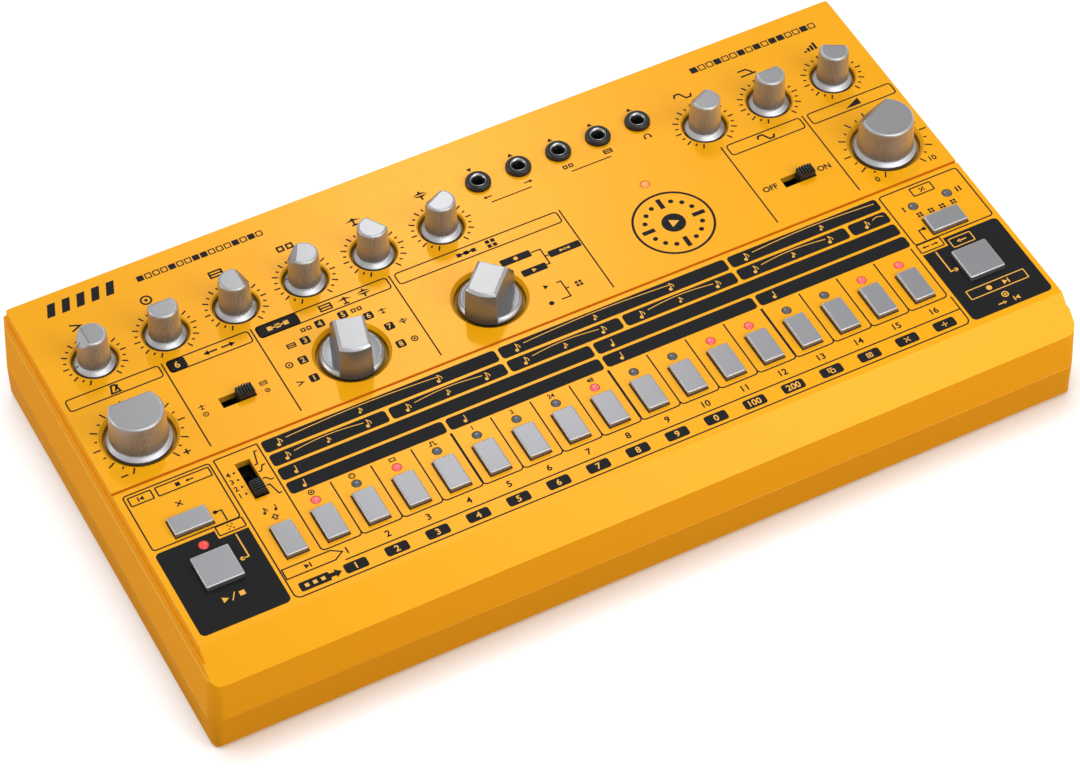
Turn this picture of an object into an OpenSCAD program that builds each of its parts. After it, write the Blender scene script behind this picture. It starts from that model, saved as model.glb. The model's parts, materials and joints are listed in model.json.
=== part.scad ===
// Desktop drum machine: panel shell, tray, knobs, buttons, slide switches, jacks and boards.
// X runs to the right, Y to the back and Z up. The origin is the centre of the base, on the floor.

/* [Case] */
// Width of the case at the seam between the two shells
case_w = 307.3; // [306.5:0.1:312]
// Width of the flat control panel
panel_w = 302.4; // [301:0.1:302.8]
// Height of the control panel above the floor
panel_z = 41.25; // [40.5:0.05:44]
// Height of the seam between the two shells
seam_z = 14.8; // [13:0.1:16]
// Distance of the front wall from the origin
front_y = 82.3; // [82:0.1:86]
// Distance of the panel's front edge from the origin
bevel_y = 72.4; // [72:0.1:73]
// Height at which the front bevel meets the front wall
bevel_z = 31.1; // [29:0.1:32]
// Distance of the rear wall from the origin
rear_y = 81.3; // [81:0.1:85]
// Wall thickness of both shells
wall = 2.5; // [2:0.1:2.8]
// Gap between the tray and the floor
foot_gap = 1.0; // [0.6:0.1:1.6]
// Radius of the upright corners
corner_r = 4.5; // [3:0.1:6]

/* [Knobs] */
// Height of the knob tops above the panel
knob_h = 12.5; // [11:0.1:15]
// Skirt radius of a small knob
small_skirt_r = 6.68; // [6.2:0.02:7]
// Body radius of a small knob at its foot
small_body_r = 5.4; // [5:0.05:5.8]
// Skirt radius of a large knob
large_skirt_r = 10.55; // [10:0.05:10.9]
// Body radius of a large knob at its foot
large_body_r = 9.45; // [9:0.05:9.8]
// Half width of a selector's bar at its foot
bar_half_w = 5.55; // [5:0.05:6]
// Spacing of the small knobs
knob_pitch = 24.46; // [24.2:0.01:24.8]
// Row of the small knobs
knob_row_y = 45.5; // [44:0.1:46]
// Row of the large knobs and selectors
dial_row_y = 10.5; // [10:0.1:11]
// Depth of the round recesses that the knobs stand in
recess_depth = 3.2; // [2.8:0.1:3.6]

/* [Buttons] */
// Spacing of the step buttons
step_pitch = 13.825; // [13.7:0.005:13.9]
// Width of a step button
key_w = 7.15; // [6.8:0.05:7.3]
// Length of a step button, and both sides of a square one
key_l = 12.8; // [12.2:0.1:12.9]
// Height of the button tops above the panel
key_proud = 1.7; // [1.4:0.05:2.2]
// Gap between a button and its window
key_gap = 0.34; // [0.3:0.01:0.4]
// Row of the step buttons
key_row_y = -48.53; // [-49:0.01:-48]
// Row of the step lamps
lamp_row_y = -38.2; // [-38.5:0.1:-38]

/* [Sockets] */
// Bore radius of the 3.5 mm jacks
jack_bore_r = 1.8; // [1.76:0.01:1.85]
// Bore radius of the 6.35 mm jack
main_bore_r = 3.25; // [3.2:0.01:3.3]
// Spacing of the jacks on the panel
jack_pitch = 14.8; // [14:0.1:15.5]
// Row of the jacks on the panel
jack_row_y = 57; // [56.5:0.1:57.5]
// Height of the rear sockets' centre line
socket_z = 26; // [25.5:0.1:26.5]

/* [Hidden] */
$fn = 64;
eps = 0.01;
far = 400;

STEPS = 16;
two = function (i) str(i < 10 ? "0" : "", i);
step_names = [for (i = [1:STEPS]) str("step_button_", two(i))];

// Side walls: a panel edge, two small ledges, then a wall that flares down to the seam
ledge_1_z = panel_z - 4.25;
ledge_2_z = panel_z - 8.25;
panel_x = panel_w / 2;
ledge_1_x = panel_x + 0.65;
ledge_2_x = panel_x + 1.3;
seam_x = case_w / 2;
base_x = seam_x - 0.35;
base_chamfer = 0.8;
seam_chamfer = 0.35;
lean = atan((seam_x - ledge_2_x) / (ledge_2_z - seam_z));
platform_r = 1.2;
rear_platform_y = rear_y - 3.5;
shoulder = 2;
inner_top_z = panel_z - wall;
floor_z = foot_gap + 2.2;

groove_y = -7.4;
groove_half_w = 0.5;
groove_floor_half_w = 0.42;
groove_depth = 1.1;

// Knob places and where each pointer rests, in degrees clockwise from the back
left_knob_x = -134.05;
right_knob_x = 85.9;
small_turns = [-90, 0, 90, -62, 58, -28];
right_turns = [-30, 0, 30];
tempo_at = [-134.1, dial_row_y];
volume_at = [134.65, dial_row_y];
instrument_at = [-60.8, dial_row_y];
mode_at = [-11.9, dial_row_y];
volume_turn = -26;
instrument_turn = 15;
mode_turn = 45;
small_at = concat([for (i = [0:5]) [left_knob_x + knob_pitch * i, knob_row_y]],
                  [for (i = [0:2]) [right_knob_x + knob_pitch * i, knob_row_y]]);
pot_at = concat(small_at, [tempo_at, volume_at]);
selector_at = [instrument_at, mode_at];
large_recess_at = [tempo_at, volume_at, instrument_at, mode_at];

small_recess_r = small_skirt_r + 0.97;
large_recess_r = large_skirt_r + 1.15;
small_recess_chamfer = 0.55;
large_recess_chamfer = 1.1;
cup_wall = 1.4;
cup_floor = 2;
cup_z = panel_z - recess_depth;
skirt_drop = 1.25;
pointer_slope = 53;
shaft_r = 3;
shaft_clear = 0.05;
shaft_foot_gap = 1.6;
bush_r = 3.45;
bush_hole_r = 3.55;
bush_proud = 1.3;
nut_h = 1.1;
pot_w = 12;
selector_w = 13.2;
board_t = 1.6;
board_top_z = 28;

// Buttons, lamps and slide switches
step_x0 = -96.53;
side_x = 134.2;
small_row_y = -28.4;
function_x = step_x0 - step_pitch;
key_flange = 1.1;
flange_gap = 0.3;
flange_t = 1.25;
key_chamfer = 0.4;
plunger_r = 1.6;
plunger_z = board_top_z + 2.6;
tact_w = 6;
tact_h = 5.6;
step_places = [for (i = [0:STEPS - 1]) [step_x0 + step_pitch * i, key_row_y]];
upright_key_places = concat(step_places, [[function_x, key_row_y]]);
square_key_places = [[-side_x, key_row_y], [side_x, key_row_y]];
flat_key_places = [[-side_x, small_row_y], [side_x, small_row_y]];
key_places = concat(upright_key_places, square_key_places, flat_key_places);
step_lamp_places = [for (i = [0:STEPS - 1]) [step_x0 + step_pitch * i, lamp_row_y]];
lamp_r = 1.55;
lamp_hole_r = 1.65;
lamp_sunk = 0.15;
status_at = [[-side_x, lamp_row_y], [128.2, -18.2], [141, -18.2], [55.6, 31.1]];

small_slot = [11.6, 4.4];
small_cap = [5.6, 3.6];
small_cap_proud = 3.2;
select_slot_at = [-100.5, 10.4];
distortion_slot_at = [101.6, 10.4];
small_cap_offset = 2.6;
scale_slot = [5, 15.5];
scale_cap = [3.9, 5.2];
scale_cap_proud = 2.6;
scale_slot_at = [-110.3, -21.65];
scale_cap_offset = -4.45;
slide_body_top = 35;
stem_side = 2.6;
stem_foot_z = 30;
slide_stem_gap = 0.4;
small_slide_body = [14, 7];
scale_slide_body = [7, 18];

// Sockets
jack_x0 = 7.5;
jack_at = [for (i = [0:4]) [jack_x0 + jack_pitch * i, jack_row_y]];
sleeve_r = 2.95;
sleeve_hole_r = 3.05;
jack_depth = 14;
jack_w = 9;
top_nut_r = 4.2;
top_nut_h = 2;
sleeve_below_nut = 0.2;
rear_board_top_z = 18;
rear_inner_y = rear_y - wall;
rear_nut_h = 1;
rear_nut_r = 4;
rear_jack_x = [for (i = [0:7]) -18 + 14 * i];
main_jack_x = 112;
main_jack_w = 16;
main_jack_depth = 27;
main_sleeve_r = 5;
main_nut_r = 7;
midi_x = [-72, -47];
din_r = 7.4;
din_hole_r = 7.6;
din_core_r = 5.9;
din_groove = 0.9;
usb_x = -97;
dc_x = -116;
dc_bore_r = 2.8;
switch_x = -132;
switch_slot = [10, 4.4];
switch_cap = [4, 3.6];
power_cap_offset = 2;
power_stem_l = 8.4;

// Screws and posts
case_screw_at = [[-144.5, -74], [-50, -74], [50, -74], [144.5, -74], [-144.5, 73], [144.5, 73]];
panel_screw_at = [for (s = [-1, 1]) for (y = [-60, -8, 30]) [s * 145.2, y],
                  [-60, -25], [60, -25]];
main_screw_at = [for (x = [-110, 110]) for (y = [-38, 38]) [x, y]];
rear_screw_at = [for (x = [-131, -45, 45, 131]) [x, 62.5]];
boss_r = 3.6;
tray_post_r = 4.2;
screw_r = 1.45;
screw_hole_r = 1.5;
screw_head_r = 3.1;
screw_head_h = 2.2;
small_post_r = 2.8;
small_screw_r = 1.2;
small_screw_hole_r = 1.25;
small_head_r = 2.3;
main_board_z = 7.2;
foot_at = [for (x = [-135, 135]) for (y = [-66, 66]) [x, y]];
foot_r = 6.5;
foot_sunk = 0.8;

ORANGE = "#F9AE25";
DARK_ORANGE = "#C88A1C";
SILVER = "#B4B4B6";
GREY = "#B2B2B4";
BLACK = "#2A2A2A";
GREEN = "#1E6B3C";
METAL = "#C9CACC";

// ---------- helpers ----------

module at_each(points) for (p = points) translate([p[0], p[1], 0]) children();

// A plate or block centred on X and Y that stands on z
module block(size, z, h) translate([-size[0] / 2, -size[1] / 2, z]) cube([size[0], size[1], h]);

// An upright cylinder that stands on z
module peg(r, z, h) translate([0, 0, z]) cylinder(r = r, h = h);

// A shape drawn as Y against Z and extruded along X
module along_x(len) translate([-len / 2, 0, 0]) rotate([90, 0, 90]) linear_extrude(len) children();

// A shape drawn as X against Z and extruded along Y
module along_y(len) translate([0, len / 2, 0]) rotate([90, 0, 0]) linear_extrude(len) children();

// A block with chamfered top edges
module chamfered_block(size, z0, z1, c) {
    intersection() {
        along_y(size[1]) chamfered_outline(size[0] / 2, z0, z1, c);
        along_x(size[0]) chamfered_outline(size[1] / 2, z0, z1, c);
    }
}

module chamfered_outline(half, z0, z1, c)
    polygon([[-half, z0], [half, z0], [half, z1 - c], [half - c, z1],
             [-half + c, z1], [-half, z1 - c]]);

// The stock outside an upright corner; the corner's axis leans with the side wall
module corner_stock(r, angle) {
    difference() {
        rotate([0, angle, 0]) translate([0, 0, -far / 2]) cube([far, far, far]);
        rotate([0, angle, 0]) translate([0, 0, -far / 2]) cylinder(r = r, h = far);
    }
}

// A screw that points up, its head below z
module screw_up(r, head_r, head_h, z, len) {
    union() {
        peg(head_r, z - head_h, head_h);
        peg(r, z - eps, len);
    }
}

// A screw that points down, its head above z
module screw_down(r, head_r, head_h, z, len) {
    union() {
        peg(head_r, z, head_h);
        peg(r, z - len, len + eps);
    }
}

// ---------- case ----------

module upper_side_outline()
    polygon([[-front_y, seam_z], [rear_y, seam_z], [rear_y, ledge_1_z - shoulder],
             [rear_y - shoulder, ledge_1_z], [rear_platform_y, ledge_1_z],
             [rear_platform_y, panel_z], [-bevel_y, panel_z], [-front_y, bevel_z]]);

module upper_front_outline()
    polygon([[-seam_x, seam_z], [seam_x, seam_z], [ledge_2_x, ledge_2_z],
             [ledge_1_x, ledge_2_z], [ledge_1_x, ledge_1_z], [panel_x, ledge_1_z],
             [panel_x, panel_z], [-panel_x, panel_z], [-panel_x, ledge_1_z],
             [-ledge_1_x, ledge_1_z], [-ledge_1_x, ledge_2_z], [-ledge_2_x, ledge_2_z]]);

module upper_corners() {
    for (s = [0, 1])
        mirror([s, 0, 0]) {
            translate([ledge_2_x - corner_r, rear_y - corner_r, ledge_2_z])
                corner_below(corner_r, -lean);
            translate([ledge_2_x - corner_r, -front_y + corner_r, ledge_2_z])
                mirror([0, 1, 0]) corner_below(corner_r, -lean);
            translate([panel_x - platform_r, rear_platform_y - platform_r, 0])
                difference() {
                    translate([0, 0, ledge_1_z]) cube([corner_r, corner_r, far]);
                    peg(platform_r, 0, far);
                }
        }
}

// Corner stock that stops at the first ledge, so that the panel keeps its own corner
module corner_below(r, angle) {
    intersection() {
        corner_stock(r, angle);
        translate([-far / 2, -far / 2, -far]) cube([far, far, far + ledge_1_z - ledge_2_z]);
    }
}

module upper_solid() {
    difference() {
        intersection() {
            along_x(far) upper_side_outline();
            along_y(far) upper_front_outline();
        }
        upper_corners();
    }
}

module upper_hollow() {
    intersection() {
        along_x(far) polygon([
            [-front_y + wall, seam_z - 1], [rear_y - wall, seam_z - 1],
            [rear_y - wall, ledge_1_z - shoulder - 1], [rear_platform_y - wall, ledge_1_z - 0.6],
            [rear_platform_y - wall, inner_top_z], [-bevel_y + 1.1, inner_top_z],
            [-front_y + wall, bevel_z - 1]]);
        along_y(far) polygon([
            [-seam_x + wall, seam_z - 1], [seam_x - wall, seam_z - 1],
            [seam_x - wall, seam_z], [ledge_2_x - wall, ledge_2_z], [panel_x - wall, ledge_1_z],
            [panel_x - wall, inner_top_z], [-panel_x + wall, inner_top_z],
            [-panel_x + wall, ledge_1_z], [-ledge_2_x + wall, ledge_2_z],
            [-seam_x + wall, seam_z]]);
    }
}

// The recess cut of one knob: a straight well with a chamfered mouth and a hole for the bush
module recess_cut(r, c) {
    peg(r, cup_z, far);
    translate([0, 0, panel_z - c]) cylinder(r1 = r, r2 = r + c, h = c);
    peg(r + c, panel_z, far);
    peg(bush_hole_r, cup_z - cup_floor - 1, far);
}

module cup(r) peg(r + cup_wall, cup_z - cup_floor, inner_top_z + eps - cup_z + cup_floor);

module key_window(size) block([size[0] + 2 * key_gap, size[1] + 2 * key_gap], inner_top_z - 1, far);

module rear_hole(x, r) translate([x, rear_y + 5, socket_z]) rotate([90, 0, 0]) cylinder(r = r, h = 10);

module rear_window(x, z, w, h) translate([x - w / 2, rear_y - 5, z]) cube([w, 10, h]);

module upper_case() color(ORANGE) {
    difference() {
        union() {
            difference() {
                upper_solid();
                upper_hollow();
            }
            at_each(small_at) cup(small_recess_r);
            at_each(large_recess_at) cup(large_recess_r);
            at_each(case_screw_at) peg(boss_r, seam_z, bevel_z - seam_z + 5);
            at_each(panel_screw_at) peg(small_post_r, board_top_z, inner_top_z - board_top_z + eps);
        }
        along_x(far) polygon([[groove_y - groove_half_w, panel_z + eps],
                              [groove_y - groove_floor_half_w, panel_z - groove_depth],
                              [groove_y + groove_floor_half_w, panel_z - groove_depth],
                              [groove_y + groove_half_w, panel_z + eps]]);
        at_each(small_at) recess_cut(small_recess_r, small_recess_chamfer);
        at_each(large_recess_at) recess_cut(large_recess_r, large_recess_chamfer);
        at_each(upright_key_places) key_window([key_w, key_l]);
        at_each(square_key_places) key_window([key_l, key_l]);
        at_each(flat_key_places) key_window([key_l, key_w]);
        at_each(step_lamp_places) peg(lamp_hole_r, 0, far);
        at_each(status_at) peg(lamp_hole_r + 0.1, 0, far);
        at_each([select_slot_at, distortion_slot_at]) block(small_slot, inner_top_z - 1, far);
        at_each([scale_slot_at]) block(scale_slot, inner_top_z - 1, far);
        at_each(jack_at) peg(sleeve_hole_r, inner_top_z - 1, far);
        at_each(case_screw_at) peg(screw_hole_r, 0, bevel_z - 4);
        at_each(panel_screw_at) peg(small_screw_hole_r, 0, board_top_z + 7);
        for (x = rear_jack_x) rear_hole(x, sleeve_hole_r);
        for (x = midi_x) rear_hole(x, din_hole_r);
        rear_hole(main_jack_x, main_sleeve_r + 0.1);
        rear_hole(dc_x, 4.1);
        rear_window(usb_x, rear_board_top_z - eps, 12.3, 11.3);
        rear_window(switch_x, socket_z - switch_slot[1] / 2, switch_slot[0], switch_slot[1]);
    }
}

module tray_solid() {
    difference() {
        intersection() {
            along_x(far) polygon([
                [-front_y + 0.3 + base_chamfer, foot_gap], [rear_y - 0.3 - base_chamfer, foot_gap],
                [rear_y - 0.3, foot_gap + base_chamfer], [rear_y, seam_z - seam_chamfer],
                [rear_y - seam_chamfer, seam_z], [-front_y + seam_chamfer, seam_z],
                [-front_y, seam_z - seam_chamfer], [-front_y + 0.3, foot_gap + base_chamfer]]);
            along_y(far) polygon([
                [-base_x + base_chamfer, foot_gap], [base_x - base_chamfer, foot_gap],
                [base_x, foot_gap + base_chamfer], [seam_x, seam_z - seam_chamfer],
                [seam_x - seam_chamfer, seam_z], [-seam_x + seam_chamfer, seam_z],
                [-seam_x, seam_z - seam_chamfer], [-base_x, foot_gap + base_chamfer]]);
        }
        for (s = [0, 1]) for (t = [0, 1])
            mirror([s, 0, 0]) mirror([0, t, 0])
                translate([seam_x - corner_r, (t == 0 ? rear_y : front_y) - corner_r, seam_z])
                    corner_stock(corner_r, 0);
    }
}

module lower_case() color(DARK_ORANGE) {
    lip_x = seam_x - wall - 0.25;
    lip_front = front_y - wall - 0.2;
    lip_rear = rear_y - wall - 0.2;
    difference() {
        union() {
            difference() {
                tray_solid();
                translate([-base_x + wall + 0.4, -front_y + wall + 0.4, floor_z])
                    cube([2 * (base_x - wall - 0.4), front_y + rear_y - 2 * (wall + 0.4), far]);
            }
            difference() {
                translate([-lip_x, -lip_front, seam_z - 3])
                    cube([2 * lip_x, lip_front + lip_rear, 4.4]);
                translate([-lip_x + 1.2, -lip_front + 1.2, seam_z - 4])
                    cube([2 * (lip_x - 1.2), lip_front + lip_rear - 2.4, 8]);
            }
            at_each(case_screw_at) peg(tray_post_r, floor_z - eps, seam_z - floor_z + eps);
            at_each(main_screw_at) peg(3, floor_z - eps, main_board_z - floor_z + eps);
            at_each(rear_screw_at) peg(3, floor_z - eps, rear_board_top_z - board_t - floor_z + eps);
        }
        at_each(case_screw_at) peg(screw_head_r + 0.2, 0, foot_gap + 3);
        at_each(case_screw_at) peg(screw_hole_r + 0.1, 0, far);
        at_each(main_screw_at) peg(small_screw_hole_r, floor_z, far);
        at_each(rear_screw_at) peg(small_screw_hole_r, floor_z + 4, far);
        at_each(foot_at) peg(foot_r + 0.1, 0, foot_gap + foot_sunk);
    }
}

module rubber_feet() color(BLACK) at_each(foot_at) {
    union() {
        translate([0, 0, 0.4]) cylinder(r = foot_r, h = foot_gap + foot_sunk - 0.4);
        cylinder(r1 = foot_r - 0.4, r2 = foot_r, h = 0.4 + eps);
    }
}

module case_screws() color(METAL) at_each(case_screw_at) {
    difference() {
        screw_up(screw_r, screw_head_r, screw_head_h, foot_gap + 3, 21);
        block([0.8, far], foot_gap + 3 - screw_head_h - 1, 1.9);
        block([far, 0.8], foot_gap + 3 - screw_head_h - 1, 1.9);
    }
}

// ---------- boards ----------

module panel_board() color(GREEN) {
    z = board_top_z - board_t;
    difference() {
        union() {
            translate([-147.8, -64, z]) cube([295.6, 117, board_t]);
            translate([1, 52, z]) cube([73, 12, board_t]);
        }
        at_each(panel_screw_at) peg(small_screw_hole_r + 0.15, z - 1, far);
    }
}

module main_board() color(GREEN) {
    difference() {
        union() {
            block([236, 90], main_board_z, board_t);
            translate([-40, -18, main_board_z + board_t]) block([14, 14], 0, 1.4);
            translate([-12, -18, main_board_z + board_t]) block([10, 10], 0, 1.2);
            translate([60, 10, main_board_z + board_t]) block([9, 6], 0, 1.6);
            for (i = [0:3]) translate([80, -30 + 14 * i, main_board_z + board_t]) peg(3.2, 0, 7);
        }
        at_each(main_screw_at) peg(small_screw_hole_r + 0.15, 0, far);
    }
}

module rear_board() color(GREEN) {
    z = rear_board_top_z - board_t;
    difference() {
        translate([-138, 53.4, z]) cube([276, 24.8, board_t]);
        at_each(rear_screw_at) peg(small_screw_hole_r + 0.15, z - 1, far);
    }
}

module board_screws() color(METAL) {
    at_each(panel_screw_at)
        screw_up(small_screw_r, small_head_r, 1.6, board_top_z - board_t, 7);
    at_each(main_screw_at)
        screw_down(small_screw_r, small_head_r, 1.6, main_board_z + board_t, 5);
    at_each(rear_screw_at)
        screw_down(small_screw_r, small_head_r, 1.6, rear_board_top_z, 9);
}

// A flat cable that folds between a plug on each board
module ribbon_cable() color("#9A9A9A") translate([0, 20, 0]) {
    low = main_board_z + board_t;
    high = board_top_z - board_t;
    plug_h = 4;
    fold = 6;
    mid = (low + high) / 2;
    t = 0.9;
    union() {
        block([26, 5], low, plug_h);
        block([26, 5], high - plug_h, plug_h);
        along_x(22) polygon([[-t, low + plug_h - eps], [t, low + plug_h - eps], [fold + t, mid],
                             [t, high - plug_h + eps], [-t, high - plug_h + eps], [fold - t, mid]]);
    }
}

// ---------- switches and pots under the panel ----------

// The body and bush of a pot or rotary switch, with a bore for its shaft
module shaft_body(w) {
    body_top = cup_z - cup_floor;
    difference() {
        union() {
            block([w, w], board_top_z, body_top - board_top_z);
            peg(bush_r, body_top - eps, cup_floor + bush_proud);
        }
        peg(shaft_r + shaft_clear, board_top_z + 1, far);
    }
}

module pot_bodies() color("#3C4A55") at_each(pot_at) shaft_body(pot_w);

module selector_switch_bodies() color("#4A4038") at_each(selector_at) shaft_body(selector_w);

module tact_switch() {
    difference() {
        block([tact_w, tact_w], board_top_z, tact_h);
        peg(plunger_r + 0.35, board_top_z + 1.1, far);
    }
}

module tact_switches() color("#333333") at_each(key_places) tact_switch();

// A slide switch body with a channel for the cap's stem
module slide_switch(size, channel) {
    difference() {
        block(size, board_top_z, slide_body_top - board_top_z);
        block(channel, board_top_z + 1.4, far);
    }
}

module slide_switch_bodies() color("#3A3A3A") {
    side = stem_side + 2 * slide_stem_gap;
    at_each([select_slot_at, distortion_slot_at])
        slide_switch(small_slide_body, [2 * small_cap_offset + side, side]);
    at_each([scale_slot_at])
        slide_switch(scale_slide_body, [side, -2 * scale_cap_offset + side + 0.5]);
}

// ---------- lamps ----------

module lamp(r) {
    union() {
        peg(r, board_top_z, panel_z - lamp_sunk - board_top_z);
        peg(r + 0.5, board_top_z, 2);
    }
}

module step_leds() color("#D8485A") at_each(step_lamp_places) lamp(lamp_r);

module status_leds() color("#E0605A") at_each(status_at) lamp(lamp_r + 0.1);

// ---------- sockets ----------

module top_jack() {
    sleeve_top = panel_z + top_nut_h - sleeve_below_nut;
    difference() {
        union() {
            block([jack_w, jack_w], board_top_z, inner_top_z - board_top_z);
            peg(sleeve_r, inner_top_z - eps, sleeve_top - inner_top_z + eps);
        }
        peg(jack_bore_r, sleeve_top - jack_depth, far);
        translate([0, 0, sleeve_top - 0.3]) cylinder(r1 = jack_bore_r, r2 = jack_bore_r + 0.35, h = 0.31);
    }
}

module top_jacks() color(METAL) at_each(jack_at) top_jack();

// A plain ring nut that stands on z
module ring_nut(r, hole_r, z, h) {
    difference() {
        union() {
            peg(r, z, h - 0.35);
            translate([0, 0, z + h - 0.35]) cylinder(r1 = r, r2 = r - 0.35, h = 0.35);
        }
        peg(hole_r, z - 1, far);
    }
}

// Turns a piece that stands on the floor so that it stands on the rear wall, at x
module on_rear(x, z) translate([x, rear_y, z]) rotate([-90, 0, 0]) children();

module panel_nuts() color(BLACK) {
    at_each(jack_at) ring_nut(top_nut_r, sleeve_hole_r, panel_z, top_nut_h);
    for (x = rear_jack_x) on_rear(x, socket_z) ring_nut(rear_nut_r, sleeve_hole_r, 0, rear_nut_h);
    on_rear(main_jack_x, socket_z) ring_nut(main_nut_r, main_sleeve_r + 0.1, 0, rear_nut_h);
    at_each(concat(pot_at, selector_at))
        difference() {
            translate([0, 0, cup_z]) cylinder(r = 5, h = nut_h, $fn = 6);
            peg(bush_hole_r, cup_z - 1, 5);
        }
}

// A jack behind the rear wall; w is its body's side, and z counts out of the rear wall
module rear_jack(x, w, r, bore_r, depth) {
    top = rear_nut_h - 0.1;
    below = socket_z - rear_board_top_z;
    on_rear(x, socket_z)
        difference() {
            union() {
                translate([-w / 2, -min(w / 2, below), top - depth - 1.1])
                    cube([w, below + min(w / 2, below), depth + 1.1 - top - wall]);
                peg(r, -wall - eps, wall + top);
            }
            peg(bore_r, top - depth, far);
        }
}

module rear_jacks() color(METAL) {
    for (x = rear_jack_x) rear_jack(x, jack_w, sleeve_r, jack_bore_r, jack_depth);
    rear_jack(main_jack_x, main_jack_w, main_sleeve_r, main_bore_r, main_jack_depth);
}

module din_socket(x) {
    pin_ring_r = 3.35;
    on_rear(x, socket_z)
        difference() {
            union() {
                translate([-9, -8, -15]) cube([18, 16, 15 - wall]);
                peg(din_r, -wall - eps, wall);
            }
            difference() {
                peg(din_core_r + din_groove, -8, far);
                peg(din_core_r, -9, 9 - 0.5);
            }
            for (a = [0:45:180])
                rotate(a) translate([pin_ring_r, 0, 0]) peg(0.75, -7, far);
            translate([0, -din_core_r, 0]) block([2.2, 2.4], -6, far);
        }
}

module midi_sockets() color(BLACK) for (x = midi_x) din_socket(x);

module usb_socket() color(METAL) translate([usb_x, 0, rear_board_top_z]) {
    mouth_w = 8.5;
    mouth_h = 7.8;
    depth = 9;
    shell_h = 11;
    union() {
        difference() {
            translate([-6, rear_y - 17, 0]) cube([12, 16.8, shell_h]);
            translate([0, rear_y, (shell_h - mouth_h) / 2]) rotate([90, 0, 0])
                translate([0, 0, -1]) linear_extrude(depth + 1)
                    polygon([[-mouth_w / 2, 0], [mouth_w / 2, 0], [mouth_w / 2, mouth_h - 1.6],
                             [mouth_w / 2 - 1.6, mouth_h], [-mouth_w / 2 + 1.6, mouth_h],
                             [-mouth_w / 2, mouth_h - 1.6]]);
        }
        translate([-2.8, rear_y - depth - eps, shell_h / 2 - 1.6]) cube([5.6, depth - 1, 3.2]);
    }
}

module power_socket() color(BLACK)
    on_rear(dc_x, socket_z)
        union() {
            difference() {
                union() {
                    translate([-4.7, -5.5, -14]) cube([9.4, 13.5, 14 - wall]);
                    peg(4, -wall - eps, wall - 0.2);
                }
                peg(dc_bore_r, -10, far);
            }
            peg(1, -10 - eps, 8.5);
        }

module power_switch_body() color("#3A3A3A")
    on_rear(switch_x, socket_z)
        difference() {
            translate([-7, -4.5, -11]) cube([14, 12.5, 11 - wall - 0.6]);
            block([2 * power_cap_offset + stem_side + 2 * slide_stem_gap,
                   stem_side + 2 * slide_stem_gap], -9, far);
        }

// ---------- moving pieces ----------

// Cuts the sloping pointer face; the chord lies at y on the knob's top
module pointer_cut(y) translate([-far / 2, y, panel_z + knob_h]) rotate([-pointer_slope, 0, 0])
    cube([far, far, far]);

module shaft() peg(shaft_r, board_top_z + shaft_foot_gap, panel_z - skirt_drop
                   - board_top_z - shaft_foot_gap + eps);

// Turns a knob at its place so that its pointer rests at the angle given
module knob_at(place, turn) translate([place[0], place[1], 0]) rotate(-turn) children();

// A round knob: a sloping skirt, a body that tapers to the top, and a pointer face
module round_knob(skirt_r, body_r, top_r, chord) {
    color(SILVER) union() {
        difference() {
            union() {
                translate([0, 0, panel_z - skirt_drop])
                    cylinder(r1 = skirt_r, r2 = body_r, h = skirt_drop + 0.1);
                translate([0, 0, panel_z + 0.1 - eps])
                    cylinder(r1 = body_r, r2 = top_r + 0.5, h = knob_h - 0.85);
                translate([0, 0, panel_z + knob_h - 0.75 - eps])
                    cylinder(r1 = top_r + 0.5, r2 = top_r, h = 0.75 + eps);
            }
            pointer_cut(chord);
        }
        shaft();
    }
}

module small_knob(i) knob_at(small_at[i], concat(small_turns, right_turns)[i])
    round_knob(small_skirt_r, small_body_r, 4.4, 2.3);

module large_knob(place, turn) knob_at(place, turn)
    round_knob(large_skirt_r, large_body_r, 8.35, 5);

// A selector: a round skirt with a bar across it, and a pointer face at one end of the bar
module selector_knob(place, turn) {
    bar_top_r = 10.2;
    bar_top_half_w = 5.1;
    bar_chamfer = 0.55;
    skirt_top = 0.6;
    top_z = panel_z + knob_h;
    low_z = panel_z - skirt_drop;
    knob_at(place, turn) color(SILVER) union() {
        translate([0, 0, low_z]) cylinder(r1 = large_skirt_r, r2 = large_skirt_r - 1.5,
                                          h = skirt_drop + skirt_top);
        difference() {
            intersection() {
                translate([0, 0, low_z])
                    cylinder(r1 = large_skirt_r, r2 = bar_top_r, h = knob_h + skirt_drop);
                along_y(far) polygon([
                    [-bar_half_w, low_z], [bar_half_w, low_z],
                    [bar_top_half_w, top_z - bar_chamfer],
                    [bar_top_half_w - bar_chamfer, top_z], [-bar_top_half_w + bar_chamfer, top_z],
                    [-bar_top_half_w, top_z - bar_chamfer]]);
            }
            pointer_cut(3.5);
        }
        shaft();
    }
}

// A button: a cap in its window, a flange that holds it in, and a plunger
module button(place, size) {
    low = inner_top_z - flange_gap - flange_t;
    translate([place[0], place[1], 0]) color(GREY) union() {
        chamfered_block(size, low, panel_z + key_proud, key_chamfer);
        block([size[0] + 2 * key_flange, size[1] + 2 * key_flange], low, flange_t);
        peg(plunger_r, plunger_z, low - plunger_z + eps);
    }
}

module step_button(i) button(step_places[i - 1], [key_w, key_l]);

// A slide cap with a stem that reaches into its switch
module slide_cap(place, size, proud) {
    foot = slide_body_top + 1;
    translate([place[0], place[1], 0]) color(BLACK) union() {
        chamfered_block(size, foot, panel_z + proud, 0.3);
        block([stem_side, stem_side], stem_foot_z, foot - stem_foot_z + eps);
    }
}

module small_slider(slot_at) slide_cap([slot_at[0] + small_cap_offset, slot_at[1]],
                                       small_cap, small_cap_proud);

module power_slider() color(BLACK) on_rear(switch_x - power_cap_offset, socket_z)
    union() {
        chamfered_block(switch_cap, -wall, rear_nut_h, 0.3);
        block([stem_side, stem_side], -power_stem_l, power_stem_l - wall + eps);
    }

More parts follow.
